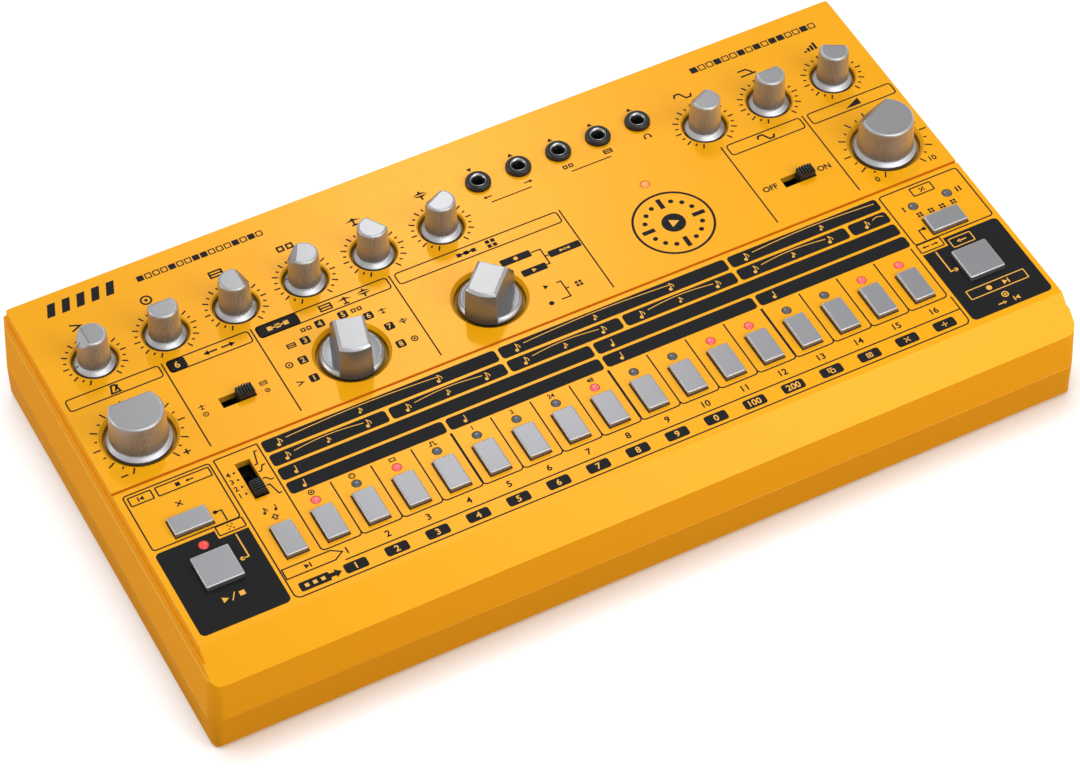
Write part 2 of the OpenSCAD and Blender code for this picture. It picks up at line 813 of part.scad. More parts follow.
upper_case();
lower_case();
panel_board();
main_board();
rear_board();
ribbon_cable();
case_screws();
board_screws();
rubber_feet();
pot_bodies();
selector_switch_bodies();
slide_switch_bodies();
tact_switches();
step_leds();
status_leds();
top_jacks();
panel_nuts();
midi_sockets();
usb_socket();
power_socket();
rear_jacks();
power_switch_body();
power_slider();
small_knob(0);  // accent_knob
small_knob(1);  // bass_knob
small_knob(2);  // snare_knob
small_knob(3);  // tom_knob
small_knob(4);  // cymbal_knob
small_knob(5);  // hihat_knob
small_knob(6);  // distortion_knob
small_knob(7);  // tone_knob
small_knob(8);  // level_knob
large_knob(tempo_at, 0);  // tempo_knob
large_knob(volume_at, volume_turn);  // volume_knob
selector_knob(instrument_at, instrument_turn);  // instrument_knob
selector_knob(mode_at, mode_turn);  // mode_knob
button([function_x, key_row_y], [key_w, key_l]);  // function_button
button([-side_x, small_row_y], [key_l, key_w]);  // clear_button
button([-side_x, key_row_y], [key_l, key_l]);  // start_button
button([side_x, small_row_y], [key_l, key_w]);  // pattern_button
button([side_x, key_row_y], [key_l, key_l]);  // tap_button
small_slider(select_slot_at);  // select_slider
small_slider(distortion_slot_at);  // distortion_slider
slide_cap([scale_slot_at[0], scale_slot_at[1] + scale_cap_offset], scale_cap, scale_cap_proud);  // scale_slider
for (i = [1:STEPS])
    step_button(i);
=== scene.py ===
"""The looks of the drum machine: lacquered shells, printed panel, knobs, keys, lamps, sockets.

Pieces are modelled in millimetres and set into the frame, in metres, by settle().
"""
import json
import math

import bpy
from mathutils import Matrix, Quaternion, Vector


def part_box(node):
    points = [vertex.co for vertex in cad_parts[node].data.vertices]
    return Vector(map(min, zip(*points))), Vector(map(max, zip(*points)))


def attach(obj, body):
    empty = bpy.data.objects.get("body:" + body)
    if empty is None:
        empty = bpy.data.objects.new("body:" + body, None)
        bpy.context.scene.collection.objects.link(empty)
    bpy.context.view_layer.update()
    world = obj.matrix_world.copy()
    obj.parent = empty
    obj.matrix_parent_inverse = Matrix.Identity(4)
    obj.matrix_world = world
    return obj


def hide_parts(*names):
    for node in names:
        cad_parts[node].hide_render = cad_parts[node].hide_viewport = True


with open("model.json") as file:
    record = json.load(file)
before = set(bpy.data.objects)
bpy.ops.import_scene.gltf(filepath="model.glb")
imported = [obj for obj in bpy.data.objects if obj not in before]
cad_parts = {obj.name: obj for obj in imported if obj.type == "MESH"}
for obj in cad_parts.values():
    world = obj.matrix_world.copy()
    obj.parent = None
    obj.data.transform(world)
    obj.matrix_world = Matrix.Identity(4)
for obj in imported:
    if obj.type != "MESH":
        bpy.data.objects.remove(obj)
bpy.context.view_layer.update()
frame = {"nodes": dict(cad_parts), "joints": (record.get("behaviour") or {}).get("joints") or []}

MM = 0.001
JOINTS = {j["child"]: j for j in frame["joints"]}
CASE = "case"


# ---------- places, taken from the frame ----------

def node_box(node):
    """The lowest and highest corner of a CAD node, in millimetres."""
    low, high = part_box(node)
    return low / MM, high / MM


def node_centre(node):
    low, high = node_box(node)
    return (low + high) / 2


PANEL_Z = node_box("upper_case")[1].z
PANEL_X = 151.2         # half the width of the flat panel
BEVEL_Y = -72.4         # where the panel meets the front bevel
OPENINGS_Y = 76         # the panel has no opening behind this
GROOVE_Y = -7.4
RECESS_Z = PANEL_Z - 3.2
REAR_Y = 81.3
SOCKET_Z = 26
REAR_JACK_X = [-18 + 14 * i for i in range(8)]
MAIN_JACK_X = 112
STEP_KEYS = [f"step_button_{i:02d}" for i in range(1, 17)]
STEP_X = [node_centre(k).x for k in STEP_KEYS]
LAMP_ROW_Y = node_centre("step_leds").y
SMALL_KNOBS = ["accent_knob", "bass_knob", "snare_knob", "tom_knob", "cymbal_knob", "hihat_knob",
               "distortion_knob", "tone_knob", "level_knob"]
LARGE_KNOBS = ["tempo_knob", "volume_knob"]
SELECTORS = ["instrument_knob", "mode_knob"]
LIT_STEPS = (1, 3, 8, 11, 12, 15, 16)


def joint_place(node):
    """Where a knob's axis stands on the panel, in millimetres."""
    x, y, _ = JOINTS[node]["pos_m"]
    return x / MM, y / MM


def rest_turn(node):
    """The pointer's rest angle of a round knob, clockwise from the back, in degrees."""
    low, high = JOINTS[node]["range_deg"]
    return (low + high) / 2


# ---------- camera, floor and light ----------

WORLD_LEVEL = 0.41                      # strength of the studio's scattered light
FLOOR_GLOW = 0.74                       # lifts the paper to white where it is seen
CONTACT_SHADE = (0.42, 0.23, 0.095)     # share of that glow left beside the case, warm


def add_camera():
    """A long lens that looks down on the front left corner."""
    azimuth, elevation, roll = (math.radians(a) for a in (-27.073, 49.847, -0.511))
    aim, distance = Vector((0, 0, 0.020)), 1.28867
    slide_right, slide_up = 0.000514, -0.013155
    back = Vector((math.sin(azimuth) * math.cos(elevation),
                   -math.cos(azimuth) * math.cos(elevation), math.sin(elevation)))
    level_right = Vector((0, 0, 1)).cross(back).normalized()
    level_up = back.cross(level_right)
    right = level_right * math.cos(roll) + level_up * math.sin(roll)
    up = level_up * math.cos(roll) - level_right * math.sin(roll)
    place = aim + back * distance + right * slide_right + up * slide_up
    data = bpy.data.cameras.new("camera")
    data.lens = 133.006
    data.sensor_width = 36
    data.clip_start, data.clip_end = 0.05, 20
    camera = bpy.data.objects.new("camera", data)
    bpy.context.collection.objects.link(camera)
    turn = Matrix((right, up, back)).transposed().to_4x4()
    camera.matrix_world = Matrix.Translation(place) @ turn
    bpy.context.scene.camera = camera


def linear(hex_colour):
    """An sRGB hex colour as linear RGBA."""
    values = [int(hex_colour[i:i + 2], 16) / 255 for i in (1, 3, 5)]
    return [v / 12.92 if v <= 0.04045 else ((v + 0.055) / 1.055) ** 2.4 for v in values] + [1]


def add_softbox(name, azimuth, elevation, width, height, watts, tilt=0, distance=1.66):
    """A soft light that faces the machine; azimuth runs clockwise from the back."""
    a, e = math.radians(azimuth), math.radians(elevation)
    place = Vector((math.sin(a) * math.cos(e), math.cos(a) * math.cos(e), math.sin(e)))
    data = bpy.data.lights.new(name, "AREA")
    data.shape = "RECTANGLE"
    data.size, data.size_y = width, height
    data.energy = watts
    lamp = bpy.data.objects.new(name, data)
    bpy.context.collection.objects.link(lamp)
    lamp.location = place * distance
    lamp.rotation_mode = "QUATERNION"
    lamp.rotation_quaternion = (place.to_track_quat("Z", "Y")
                                @ Quaternion((0, 0, 1), math.radians(tilt)))


def add_node(tree, kind, links=None, **values):
    """Adds one node, sets its properties or input values, and links named inputs."""
    node = tree.nodes.new(kind)
    for key, value in values.items():
        if hasattr(node, key):
            setattr(node, key, value)
        else:
            node.inputs[key.replace("_", " ")].default_value = value
    for socket, source in (links or {}).items():
        tree.links.new(source, node.inputs[socket])
    return node


def seen_directly(tree):
    """1 for what the camera sees, itself or through gloss and glass; 0 for scattered light."""
    path = add_node(tree, "ShaderNodeLightPath")
    seen = path.outputs["Is Camera Ray"]
    for ray in ("Is Glossy Ray", "Is Transmission Ray"):
        either = add_node(tree, "ShaderNodeMath", {0: seen, 1: path.outputs[ray]},
                          operation="MAXIMUM")
        seen = either.outputs[0]
    return seen


def add_world():
    """An even white studio, seen as plain white by the camera, by gloss and through glass."""
    world = bpy.data.worlds.new("studio")
    world.use_nodes = True
    bpy.context.scene.world = world
    tree = world.node_tree
    tree.nodes.clear()
    light = add_node(tree, "ShaderNodeBackground", Color=(1, 1, 1, 1), Strength=WORLD_LEVEL)
    seen = add_node(tree, "ShaderNodeBackground", Color=(1, 1, 1, 1), Strength=1.0)
    mixed = add_node(tree, "ShaderNodeMixShader", {0: seen_directly(tree), 1: light.outputs[0],
                                                   2: seen.outputs[0]})
    add_node(tree, "ShaderNodeOutputWorld", {"Surface": mixed.outputs[0]})


def add_floor():
    """White paper under the machine, lifted to white where it is seen; it keeps the shadow."""
    bpy.ops.mesh.primitive_plane_add(size=6)
    floor = bpy.context.object
    floor.name = "floor"
    paper = bpy.data.materials.new("white_paper")
    paper.use_nodes = True
    tree = paper.node_tree
    tree.nodes.clear()
    matt = add_node(tree, "ShaderNodeBsdfDiffuse", Color=linear("#BCBCBC"), Roughness=0.5)
    # The glow dies down close to the case, most of all in front of it: a warm contact shadow.
    backward = add_node(tree, "ShaderNodeCombineXYZ", X=-0.4, Y=0.45, Z=0.8)
    open_sky = add_node(tree, "ShaderNodeAmbientOcclusion", {"Normal": backward.outputs[0]},
                        Distance=0.0125)
    openness = add_node(tree, "ShaderNodeMapRange", {"Value": open_sky.outputs["AO"]},
                        From_Min=0.36, From_Max=1.0)
    shade = add_node(tree, "ShaderNodeMix", {"Factor": openness.outputs[0]}, data_type="RGBA",
                     A=(*(FLOOR_GLOW * part for part in CONTACT_SHADE), 1),
                     B=(FLOOR_GLOW, FLOOR_GLOW, FLOOR_GLOW, 1))
    glow = add_node(tree, "ShaderNodeEmission", {"Color": shade.outputs["Result"],
                                                 "Strength": seen_directly(tree)})
    both = add_node(tree, "ShaderNodeAddShader", {0: matt.outputs[0], 1: glow.outputs[0]})
    add_node(tree, "ShaderNodeOutputMaterial", {"Surface": both.outputs[0]})
    floor.data.materials.append(paper)


add_camera()
bpy.context.scene.view_settings.view_transform = "Standard"


# ---------- materials ----------

def start_material(name):
    """A material whose patterns are counted in millimetres on the piece."""
    made = bpy.data.materials.new(name)
    made.use_nodes = True
    tree = made.node_tree
    tree.nodes.clear()
    place = add_node(tree, "ShaderNodeTexCoord")
    in_mm = add_node(tree, "ShaderNodeMapping", {"Vector": place.outputs["Object"]},
                     Scale=(1000, 1000, 1000))
    return made, tree, in_mm.outputs[0]


def finish_material(tree, links, **values):
    shader = add_node(tree, "ShaderNodeBsdfPrincipled", links, **values)
    add_node(tree, "ShaderNodeOutputMaterial", {"Surface": shader.outputs[0]})


def noise(tree, place, size_mm, detail=2.0):
    """Noise whose spots are about size_mm wide."""
    made = add_node(tree, "ShaderNodeTexNoise", {"Vector": place}, Scale=1 / size_mm, Detail=detail)
    return made.outputs["Fac"]


def grain_bump(tree, place, size_mm, depth_mm):
    """A fine moulded or sprayed grain; size is the width of one grain."""
    return add_node(tree, "ShaderNodeBump", {"Height": noise(tree, place, size_mm)},
                    Distance=depth_mm * MM, Strength=1.0)


def mottled(tree, place, size_mm, dark, light):
    """Two close shades that drift into each other over size_mm."""
    return add_node(tree, "ShaderNodeMix", {"Factor": noise(tree, place, size_mm, 3.0)},
                    data_type="RGBA", A=linear(dark), B=linear(light))


def uneven_gloss(tree, place, size_mm, roughness, spread):
    """Roughness that drifts a little over size_mm."""
    return add_node(tree, "ShaderNodeMapRange", {"Value": noise(tree, place, size_mm)},
                    To_Min=roughness - spread, To_Max=roughness + spread)


def plastic(name, dark, light, roughness, grain_mm, depth_mm, drift_mm, spread=0.04, **more):
    """A moulded plastic: two close shades, a fine grain and uneven gloss."""
    made, tree, place = start_material(name)
    shade = mottled(tree, place, drift_mm, dark, light)
    bump = grain_bump(tree, place, grain_mm, depth_mm)
    gloss = uneven_gloss(tree, place, grain_mm * 3, roughness, spread)
    finish_material(tree, {"Base Color": shade.outputs["Result"], "Normal": bump.outputs[0],
                           "Roughness": gloss.outputs[0]}, **more)
    return made


def metal(name, dark, light, roughness, grain_mm, depth_mm, metallic=1.0):
    """A bare or sprayed metal face with a fine grain."""
    return plastic(name, dark, light, roughness, grain_mm, depth_mm, 12, 0.012, Metallic=metallic)


def lacquer(name, dark, light, deep, satin=0.29, matt=0.75):
    """Sprayed lacquer: satin where it lies flat or slopes, matt on the upright walls, where a
    deeper colour paints in shade.
    """
    made, tree, place = start_material(name)
    drift = mottled(tree, place, 60, dark, light)
    peel = grain_bump(tree, place, 0.9, 0.012)
    gloss = uneven_gloss(tree, place, 2.5, satin, 0.02)
    facing = add_node(tree, "ShaderNodeNewGeometry")
    upward = add_node(tree, "ShaderNodeSeparateXYZ", {"Vector": facing.outputs["True Normal"]})
    wall = add_node(tree, "ShaderNodeMapRange", {"Value": upward.outputs["Z"]},
                    From_Min=0.2, From_Max=0.6, To_Min=1.0, To_Max=0.0)
    rough = add_node(tree, "ShaderNodeMath", {0: wall.outputs[0], 2: gloss.outputs[0]},
                     operation="MULTIPLY_ADD")
    rough.inputs[1].default_value = matt - satin
    # Painted shade: the upright walls turn towards the deeper colour.
    shade = add_node(tree, "ShaderNodeMix", {"Factor": wall.outputs[0],
                                             "A": drift.outputs["Result"]},
                     data_type="RGBA", B=linear(deep))
    finish_material(tree, {"Base Color": shade.outputs["Result"], "Normal": peel.outputs[0],
                           "Roughness": rough.outputs[0]}, IOR=1.28, Metallic=0.05)
    return made


# Orange-yellow lacquer over moulded ABS: strong colour, satin sheen, a fine orange peel of
# 0.9 mm; the walls come out matt, and a deeper colour on them is painted shade.
case_lacquer = lacquer("satin_orange_lacquer", "#FBAC00", "#FCB000", "#FBA600")
# Painted shade: the tray is a shade deeper than the top, for the shade that falls on its lower
# walls by the floor.
tray_shade_lacquer = lacquer("orange_lacquer_painted_lower_shade", "#E89800", "#EA9C00", "#E89800")
# Painted highlight: the narrow ledges of the sides and the rim above them, lacquer made light.
ledge_highlight_lacquer = lacquer("orange_lacquer_painted_highlight", "#FFD050", "#FFD458", "#FFD050")
# Painted shade: the groove across the panel, made browner for the shade in it.
groove_shade_lacquer = plastic("orange_lacquer_painted_groove_shade", "#DE8408", "#E48A0A", 0.4, 0.45, 0.003, 20)
# Painted shade: the walls and floors of the recesses and key openings, made browner for the shade
# in them.
recess_shade_lacquer = plastic("brown_lacquer_painted_recess_shade", "#BE8A10", "#C49014", 0.5, 0.45, 0.004, 10)
# Screen-printed ink: flat and nearly without sheen.
black_ink = plastic("black_screen_ink", "#111113", "#151517", 0.5, 0.3, 0.002, 15, IOR=1.22)
# The lacquer's own colour where the black print leaves it free.
bare_lacquer = plastic("lacquer_left_in_print", "#F7B23A", "#F9B844", 0.45, 0.3, 0.002, 15)
# Silver paint on ABS knobs: fine metal flakes under a thin clear coat.
knob_silver = metal("silver_paint_on_abs", "#838385", "#88888A", 0.3, 0.22, 0.0004, 0.62)
# Painted light: the knurled wall of a knob, painted much brighter than the top to lift the shade
# its teeth cast; it mirrors the lacquer round it.
knurl_painted_light_silver = metal("silver_knurl_painted_light", "#D4D4D6", "#DADADC", 0.3, 0.3, 0.0004, 0.88)
# Painted shade: one flank of each tooth, painted darker than the other.
shaded_flank = metal("silver_knurl_flank_painted_shade", "#BCBAB8", "#C2C0BE", 0.35, 0.3, 0.0004, 0.85)
# Painted highlight: the turned rims of the knobs and keys and the knobs' skirts, painted brighter
# than the rest.
rim_highlight_silver = metal("silver_rim_painted_highlight", "#A2A2A4", "#AAAAAC", 0.35, 0.3, 0.0003, 0.8)
# Keys: the same paint, a little flatter.
key_silver = metal("satin_grey_paint_on_abs", "#818184", "#87878A", 0.33, 0.3, 0.0004, 0.7)
# Black moulded ABS for caps, nuts and sockets.
black_abs = plastic("black_moulded_abs", "#131314", "#181819", 0.42, 0.25, 0.003, 10, IOR=1.4)
# Dark grey ink of a knob's pointer line.
pointer_ink = plastic("pointer_ink", "#2A2826", "#302E2B", 0.5, 0.2, 0.001, 6)
# Nickel plate on the jack sleeves: a bright, hardly yellow metal.
nickel = metal("nickel_plate", "#8E8D8A", "#979693", 0.2, 0.3, 0.0004)
# Zinc-plated steel screws: pale and dull.
zinc_steel = metal("zinc_plated_steel", "#A8A9AB", "#B8B9BA", 0.35, 0.25, 0.002)
# Stamped steel cans of the pots: a cool grey.
steel_can = metal("stamped_steel", "#8D9196", "#9DA1A5", 0.42, 0.4, 0.003)
# Matt black rubber of the feet, and of the rings of painted shade in the knobs' recesses.
foot_rubber = plastic("black_rubber", "#161616", "#1E1E1E", 0.85, 0.35, 0.012, 8)
# Grey vinyl of the flat cable.
cable_vinyl = plastic("grey_vinyl", "#8E8E8E", "#989898", 0.5, 0.6, 0.006, 10)


def circuit_board():
    """FR4 board under green solder mask, with the copper tracks showing through."""
    made, tree, place = start_material("green_solder_mask")
    tracks = add_node(tree, "ShaderNodeTexBrick", {"Vector": place}, Scale=0.35,
                      Color1=linear("#17603A"), Color2=linear("#15583A"),
                      Mortar=linear("#1F7A48"), Mortar_Size=0.06)
    bump = grain_bump(tree, place, 0.6, 0.006)
    finish_material(tree, {"Base Color": tracks.outputs["Color"], "Normal": bump.outputs[0]},
                    Roughness=0.3)
    return made


def lamp_glass(name, dark, light, glow, strength):
    """Cast epoxy lamp lens; a lit one glows."""
    return plastic(name, dark, light, 0.22, 0.4, 0.001, 3, IOR=1.5,
                   Emission_Color=linear(glow), Emission_Strength=strength)


solder_mask = circuit_board()
lamp_lit = lamp_glass("red_epoxy_rim", "#C8303C", "#CE3640", "#E02838", 0.3)
lamp_lit_core = lamp_glass("red_epoxy_lit", "#E05A5C", "#E66264", "#FF5C58", 0.42)
lamp_start_core = lamp_glass("red_epoxy_bright", "#D83C3C", "#DE4444", "#FF3A34", 0.34)
lamp_orange = lamp_glass("orange_epoxy_rim", "#E06A34", "#E67038", "#F06020", 0.15)
lamp_orange_core = lamp_glass("orange_epoxy_lit", "#EA9644", "#EE9C4A", "#FF8A34", 0.26)
# Painted shade: an unlit lens's rim is dark for the shade in the gap round it.
lamp_off = lamp_glass("smoked_epoxy_rim_painted_shade", "#2E2E30", "#343436", "#000000", 0.0)
lamp_off_core = lamp_glass("smoked_epoxy", "#545456", "#5C5C5E", "#000000", 0.0)


# ---------- modelling helpers, in millimetres ----------

def select(objs):
    """Selects these objects alone; the first one becomes the active one."""
    bpy.ops.object.select_all(action="DESELECT")
    for obj in objs:
        obj.select_set(True)
    bpy.context.view_layer.objects.active = objs[0]


def edit(obj):
    select([obj])
    bpy.ops.object.mode_set(mode="EDIT")
    bpy.ops.mesh.select_all(action="SELECT")


def leave_edit():
    bpy.ops.object.mode_set(mode="OBJECT")


def join(objs):
    select(objs)
    if len(objs) > 1:
        bpy.ops.object.join()
    return objs[0]


def moved(obj, x, y, z):
    obj.data.transform(Matrix.Translation((x, y, z)))
    return obj


def merge_flat_faces(obj):
    edit(obj)
    bpy.ops.mesh.dissolve_limited(angle_limit=math.radians(0.5))
    leave_edit()


def apply_modifier(obj, kind, **settings):
    select([obj])
    modifier = obj.modifiers.new(kind.lower(), kind)
    for key, value in settings.items():
        setattr(modifier, key, value)
    bpy.ops.object.modifier_apply(modifier=modifier.name)


def polar(x, y, radius, turn):
    """The point at a distance from (x, y), turn degrees counter-clockwise from +X."""
    return x + radius * math.cos(math.radians(turn)), y + radius * math.sin(math.radians(turn))


def arc(x, y, radius, start, end, steps):
    """Points on an arc; the angles are counted as in polar()."""
    return [polar(x, y, radius, start + (end - start) * i / steps) for i in range(steps + 1)]


def lathe(profile, steps):
    """Turns a list of (radius, height) points round the Z axis. A modifier does it, because the
    spin operator gives its faces another order each run, which the later cuts would follow."""
    mesh = bpy.data.meshes.new("turned")
    points = [(r, 0, z) for r, z in profile]
    mesh.from_pydata(points, [(i, i + 1) for i in range(len(points) - 1)], [])
    obj = bpy.data.objects.new("turned", mesh)
    bpy.context.collection.objects.link(obj)
    apply_modifier(obj, "SCREW", angle=2 * math.pi, steps=steps, render_steps=steps)
    edit(obj)
    bpy.ops.mesh.remove_doubles(threshold=0.0005)
    bpy.ops.mesh.normals_make_consistent(inside=False)
    leave_edit()
    return obj


def cut_teeth(obj, teeth, low, high):
    """Moves every other column of a turned wall inwards, and its ends upwards: the top follows
    the 45 degree rim, and the foot goes in deeper and lets the skirt rise between the teeth."""
    for v in obj.data.vertices:
        radius = math.hypot(v.co.x, v.co.y)
        column = round(math.atan2(v.co.y, v.co.x) / math.pi * teeth)
        if low <= v.co.z <= high and column % 2 and radius > TOOTH_DEPTH:
            at_foot = v.co.z < low + 0.1
            depth = TOOTH_DEPTH * 1.4 if at_foot else TOOTH_DEPTH
            v.co.x *= 1 - depth / radius
            v.co.y *= 1 - depth / radius
            if at_foot:
                v.co.z += 0.5 * TOOTH_DEPTH
            elif v.co.z > high - 0.1:
                v.co.z += TOOTH_DEPTH


def tube(inner, outer, low, high, steps):
    return lathe([(inner, low), (outer, low), (outer, high), (inner, high), (inner, low)], steps)


def slab(x0, y0, x1, y1, z0, z1):
    """A box between two corners."""
    bpy.ops.mesh.primitive_cube_add(size=1, location=((x0 + x1) / 2, (y0 + y1) / 2, (z0 + z1) / 2))
    obj = bpy.context.object
    obj.scale = (x1 - x0, y1 - y0, z1 - z0)
    bpy.ops.object.transform_apply(location=True, rotation=True, scale=True)
    return obj


def centred_slab(width, length, z0, z1):
    return slab(-width / 2, -length / 2, width / 2, length / 2, z0, z1)


def edit_chosen(obj, kind, chosen):
    """Enters edit mode with only the edges or faces selected for which chosen(part) holds."""
    edit(obj)
    bpy.ops.mesh.select_mode(type=kind)
    bpy.ops.mesh.select_all(action="DESELECT")
    leave_edit()
    for part in obj.data.edges if kind == "EDGE" else obj.data.polygons:
        part.select = chosen(part)
    bpy.ops.object.mode_set(mode="EDIT")


def bevel_edges(obj, wanted, width, segments):
    """Bevels the edges whose two ends satisfy wanted(a, b)."""
    points = [v.co.copy() for v in obj.data.vertices]
    edit_chosen(obj, "EDGE", lambda edge: wanted(*(points[i] for i in edge.vertices)))
    bpy.ops.mesh.bevel(offset=width, segments=segments, profile=0.5)
    leave_edit()


def flatten_faces(obj, margin, smallest):
    """Insets the large flat faces a little, so that rounded edges don't shade into them."""
    edit_chosen(obj, "FACE", lambda face: face.area > smallest)
    bpy.ops.mesh.inset(thickness=margin, use_individual=True)
    leave_edit()


def settle(obj, name, material, body=CASE, replaces=(), place=(0, 0, 0), turn=0, smooth=35):
    """Puts a piece modelled in millimetres at its place in the frame, and dresses it."""
    obj.data.transform(Matrix.Scale(MM, 4) @ Matrix.Translation(place)
                       @ Matrix.Rotation(math.radians(-turn), 4, "Z"))
    return dress(obj, name, material, body, replaces, smooth)


def dress(obj, name, material, body, replaces, smooth):
    """Names a finished piece, and gives it its material, body and replaced nodes."""
    select([obj])
    obj.name = name
    obj.data.name = name
    obj.data.materials.clear()
    obj.data.materials.append(material)
    if smooth:
        bpy.ops.object.shade_smooth_by_angle(angle=math.radians(smooth))
    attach(obj, body)
    if replaces:
        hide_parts(*replaces)
    return obj


def second_finish(obj, material, chosen):
    """Gives the faces for which chosen(face, height over the panel in mm) holds another finish."""
    obj.data.materials.append(material)
    for face in obj.data.polygons:
        if chosen(face, face.center.z / MM - PANEL_Z):
            face.material_index = len(obj.data.materials) - 1


def copy_mesh(obj):
    made = bpy.data.objects.new(obj.name, obj.data.copy())
    bpy.context.collection.objects.link(made)
    return made


# ---------- shells ----------

def mark_outward_edges(obj):
    """Gives a mesh's sharp outward edges full bevel weight."""
    beside = {}
    for face in obj.data.polygons:
        for key in face.edge_keys:
            beside.setdefault(key, []).append(face)
    weights = obj.data.attributes.new("bevel_weight_edge", "FLOAT", "EDGE").data
    for edge, weight in zip(obj.data.edges, weights):
        one, other = beside[edge.key]
        outward = (other.center - one.center).dot(one.normal) < 0
        weight.value = outward and one.normal.angle(other.normal) > math.radians(28)


def rounded_shell(node, name, width, finish):
    """A copy of a CAD shell with its mesh merged and its outward edges rounded."""
    obj = copy_mesh(frame["nodes"][node])
    edit(obj)
    bpy.ops.mesh.remove_doubles(threshold=2e-6)
    bpy.ops.mesh.dissolve_limited(angle_limit=math.radians(0.5))
    leave_edit()
    mark_outward_edges(obj)
    apply_modifier(obj, "BEVEL", width=width * MM, segments=3, limit_method="WEIGHT",
                   harden_normals=True)
    return dress(obj, name, finish, CASE, [node], smooth=0)


def in_groove(face, height):
    """The walls and floor of the groove that crosses the panel."""
    return -1.3 < height < -0.12 and abs(face.center.y / MM - GROOVE_Y) < 0.65


def in_recess(face, height):
    """The walls and floors of the openings inside the panel's edges, but not their chamfers."""
    x, y = face.center.x / MM, face.center.y / MM
    if 0.5 < face.normal.z < 0.95:
        return False
    return -3.4 < height < -0.3 and abs(x) < PANEL_X - 1 and BEVEL_Y + 1 < y < OPENINGS_Y


def on_ledge(face, height):
    """The ledges along the two sides and the rounded edges beside them."""
    return -9 < height < -0.02 and abs(face.center.x / MM) > PANEL_X - 0.5 and face.normal.z > 0.25


upper_shell = rounded_shell("upper_case", "upper_shell", 0.3, case_lacquer)
# Painted shade on the walls and floors of the recesses.
second_finish(upper_shell, recess_shade_lacquer, in_recess)
# Painted shade in the groove.
second_finish(upper_shell, groove_shade_lacquer, in_groove)
# Painted highlight on the side ledges and their rounded edges.
second_finish(upper_shell, ledge_highlight_lacquer, on_ledge)
# Painted shade: the lower shell takes the deeper tray lacquer.
rounded_shell("lower_case", "lower_shell", 0.25, tray_shade_lacquer)


# ---------- knobs ----------

KNOB_TOP = 12.5         # heights over the panel
KNOB_EDGE = 11.85
KNURL_FOOT = 0.1
SKIRT_LIP = -1.25
SKIRT_FOOT = -2.1
TOOTH_DEPTH = 0.5
POINTER_SLOPE = math.radians(53)


def pointer_face(obj, chord):
    """Cuts the sloping pointer face that faces the back."""
    edit(obj)
    bpy.ops.mesh.bisect(plane_co=(0, chord, KNOB_TOP),
                        plane_no=(0, math.sin(POINTER_SLOPE), math.cos(POINTER_SLOPE)),
                        use_fill=True, clear_outer=True)
    leave_edit()


def round_knob(skirt_r, foot_r, top_r, chord, teeth):
    """A turned knob: hollow foot, sloping skirt, knurled body, chamfered rim and pointer face;
    add_round_knobs paints a highlight on the rim.
    """
    profile = [(0, -0.4), (skirt_r - 1.2, -0.4), (skirt_r - 0.9, SKIRT_FOOT),
               (skirt_r - 0.15, SKIRT_FOOT), (skirt_r, SKIRT_FOOT + 0.15),
               (skirt_r - 0.03, SKIRT_LIP + 0.4), (skirt_r - 0.16, SKIRT_LIP + 0.54),
               (foot_r + 0.16, KNURL_FOOT - 0.32), (foot_r + 0.03, KNURL_FOOT - 0.2),
               (foot_r, KNURL_FOOT), (top_r + 0.55, KNOB_EDGE), (top_r + 0.1, KNOB_TOP - 0.18),
               (top_r - 0.1, KNOB_TOP - 0.05), (top_r - 0.3, KNOB_TOP), (top_r - 0.6, KNOB_TOP),
               (0, KNOB_TOP)]
    obj = lathe(profile, steps=2 * teeth)
    cut_teeth(obj, teeth, KNURL_FOOT - 0.05, KNOB_EDGE + 0.01)
    pointer_face(obj, chord)
    merge_flat_faces(obj)
    bevel_edges(obj, lambda a, b: (min(a.z, b.z) > KNOB_TOP - 0.01
                                   and min(a.y, b.y) > chord - 0.01), 0.25, 2)
    flatten_faces(obj, 0.15, 25)
    return obj


def pointer_mark(skirt_r, body_r, chord):
    """The dark line of the pointer: a stroke on the face's lower half and one on the skirt."""
    reach = (body_r - chord) / math.cos(POINTER_SLOPE)
    strokes = []
    for length, lean, y, z in (
            (reach * 0.42, POINTER_SLOPE, chord + reach * 0.76 * math.cos(POINTER_SLOPE),
             KNOB_TOP - reach * 0.76 * math.sin(POINTER_SLOPE)),
            (skirt_r - body_r - 0.1, math.radians(36), (skirt_r + body_r) / 2 + 0.05, -0.42)):
        stroke = centred_slab(0.34, length, -0.06, 0.03)
        stroke.data.transform(Matrix.Rotation(-lean, 4, "X"))
        strokes.append(moved(stroke, 0, y, z))
    return join(strokes)


def on_rim(face, height):
    """The skirt's slope and the rounded rim of a knob."""
    return (0.05 < face.normal.z < 0.99
            and (height < KNURL_FOOT + 0.2 or KNOB_EDGE < height < KNOB_TOP - 0.01))


def on_knurl(face, height):
    return abs(face.normal.z) < 0.3 and KNURL_FOOT - 0.05 < height < KNOB_EDGE + 0.05


def on_flank(x, y):
    """Chooses the one flank of each tooth of a knob that stands at (x, y)."""
    def chosen(face, height):
        out_x, out_y = face.center.x / MM - x, face.center.y / MM - y
        return out_x * face.normal.y > out_y * face.normal.x and on_knurl(face, height)
    return chosen


def add_knob(pattern, node, turn, smooth, *finishes):
    """Sets a copy of a knob on its axis; finishes are pairs for second_finish."""
    cap = settle(copy_mesh(pattern), node + "_cap", knob_silver, node, [node],
                 (*joint_place(node), PANEL_Z), turn, smooth)
    for material, chosen in finishes:
        second_finish(cap, material, chosen)


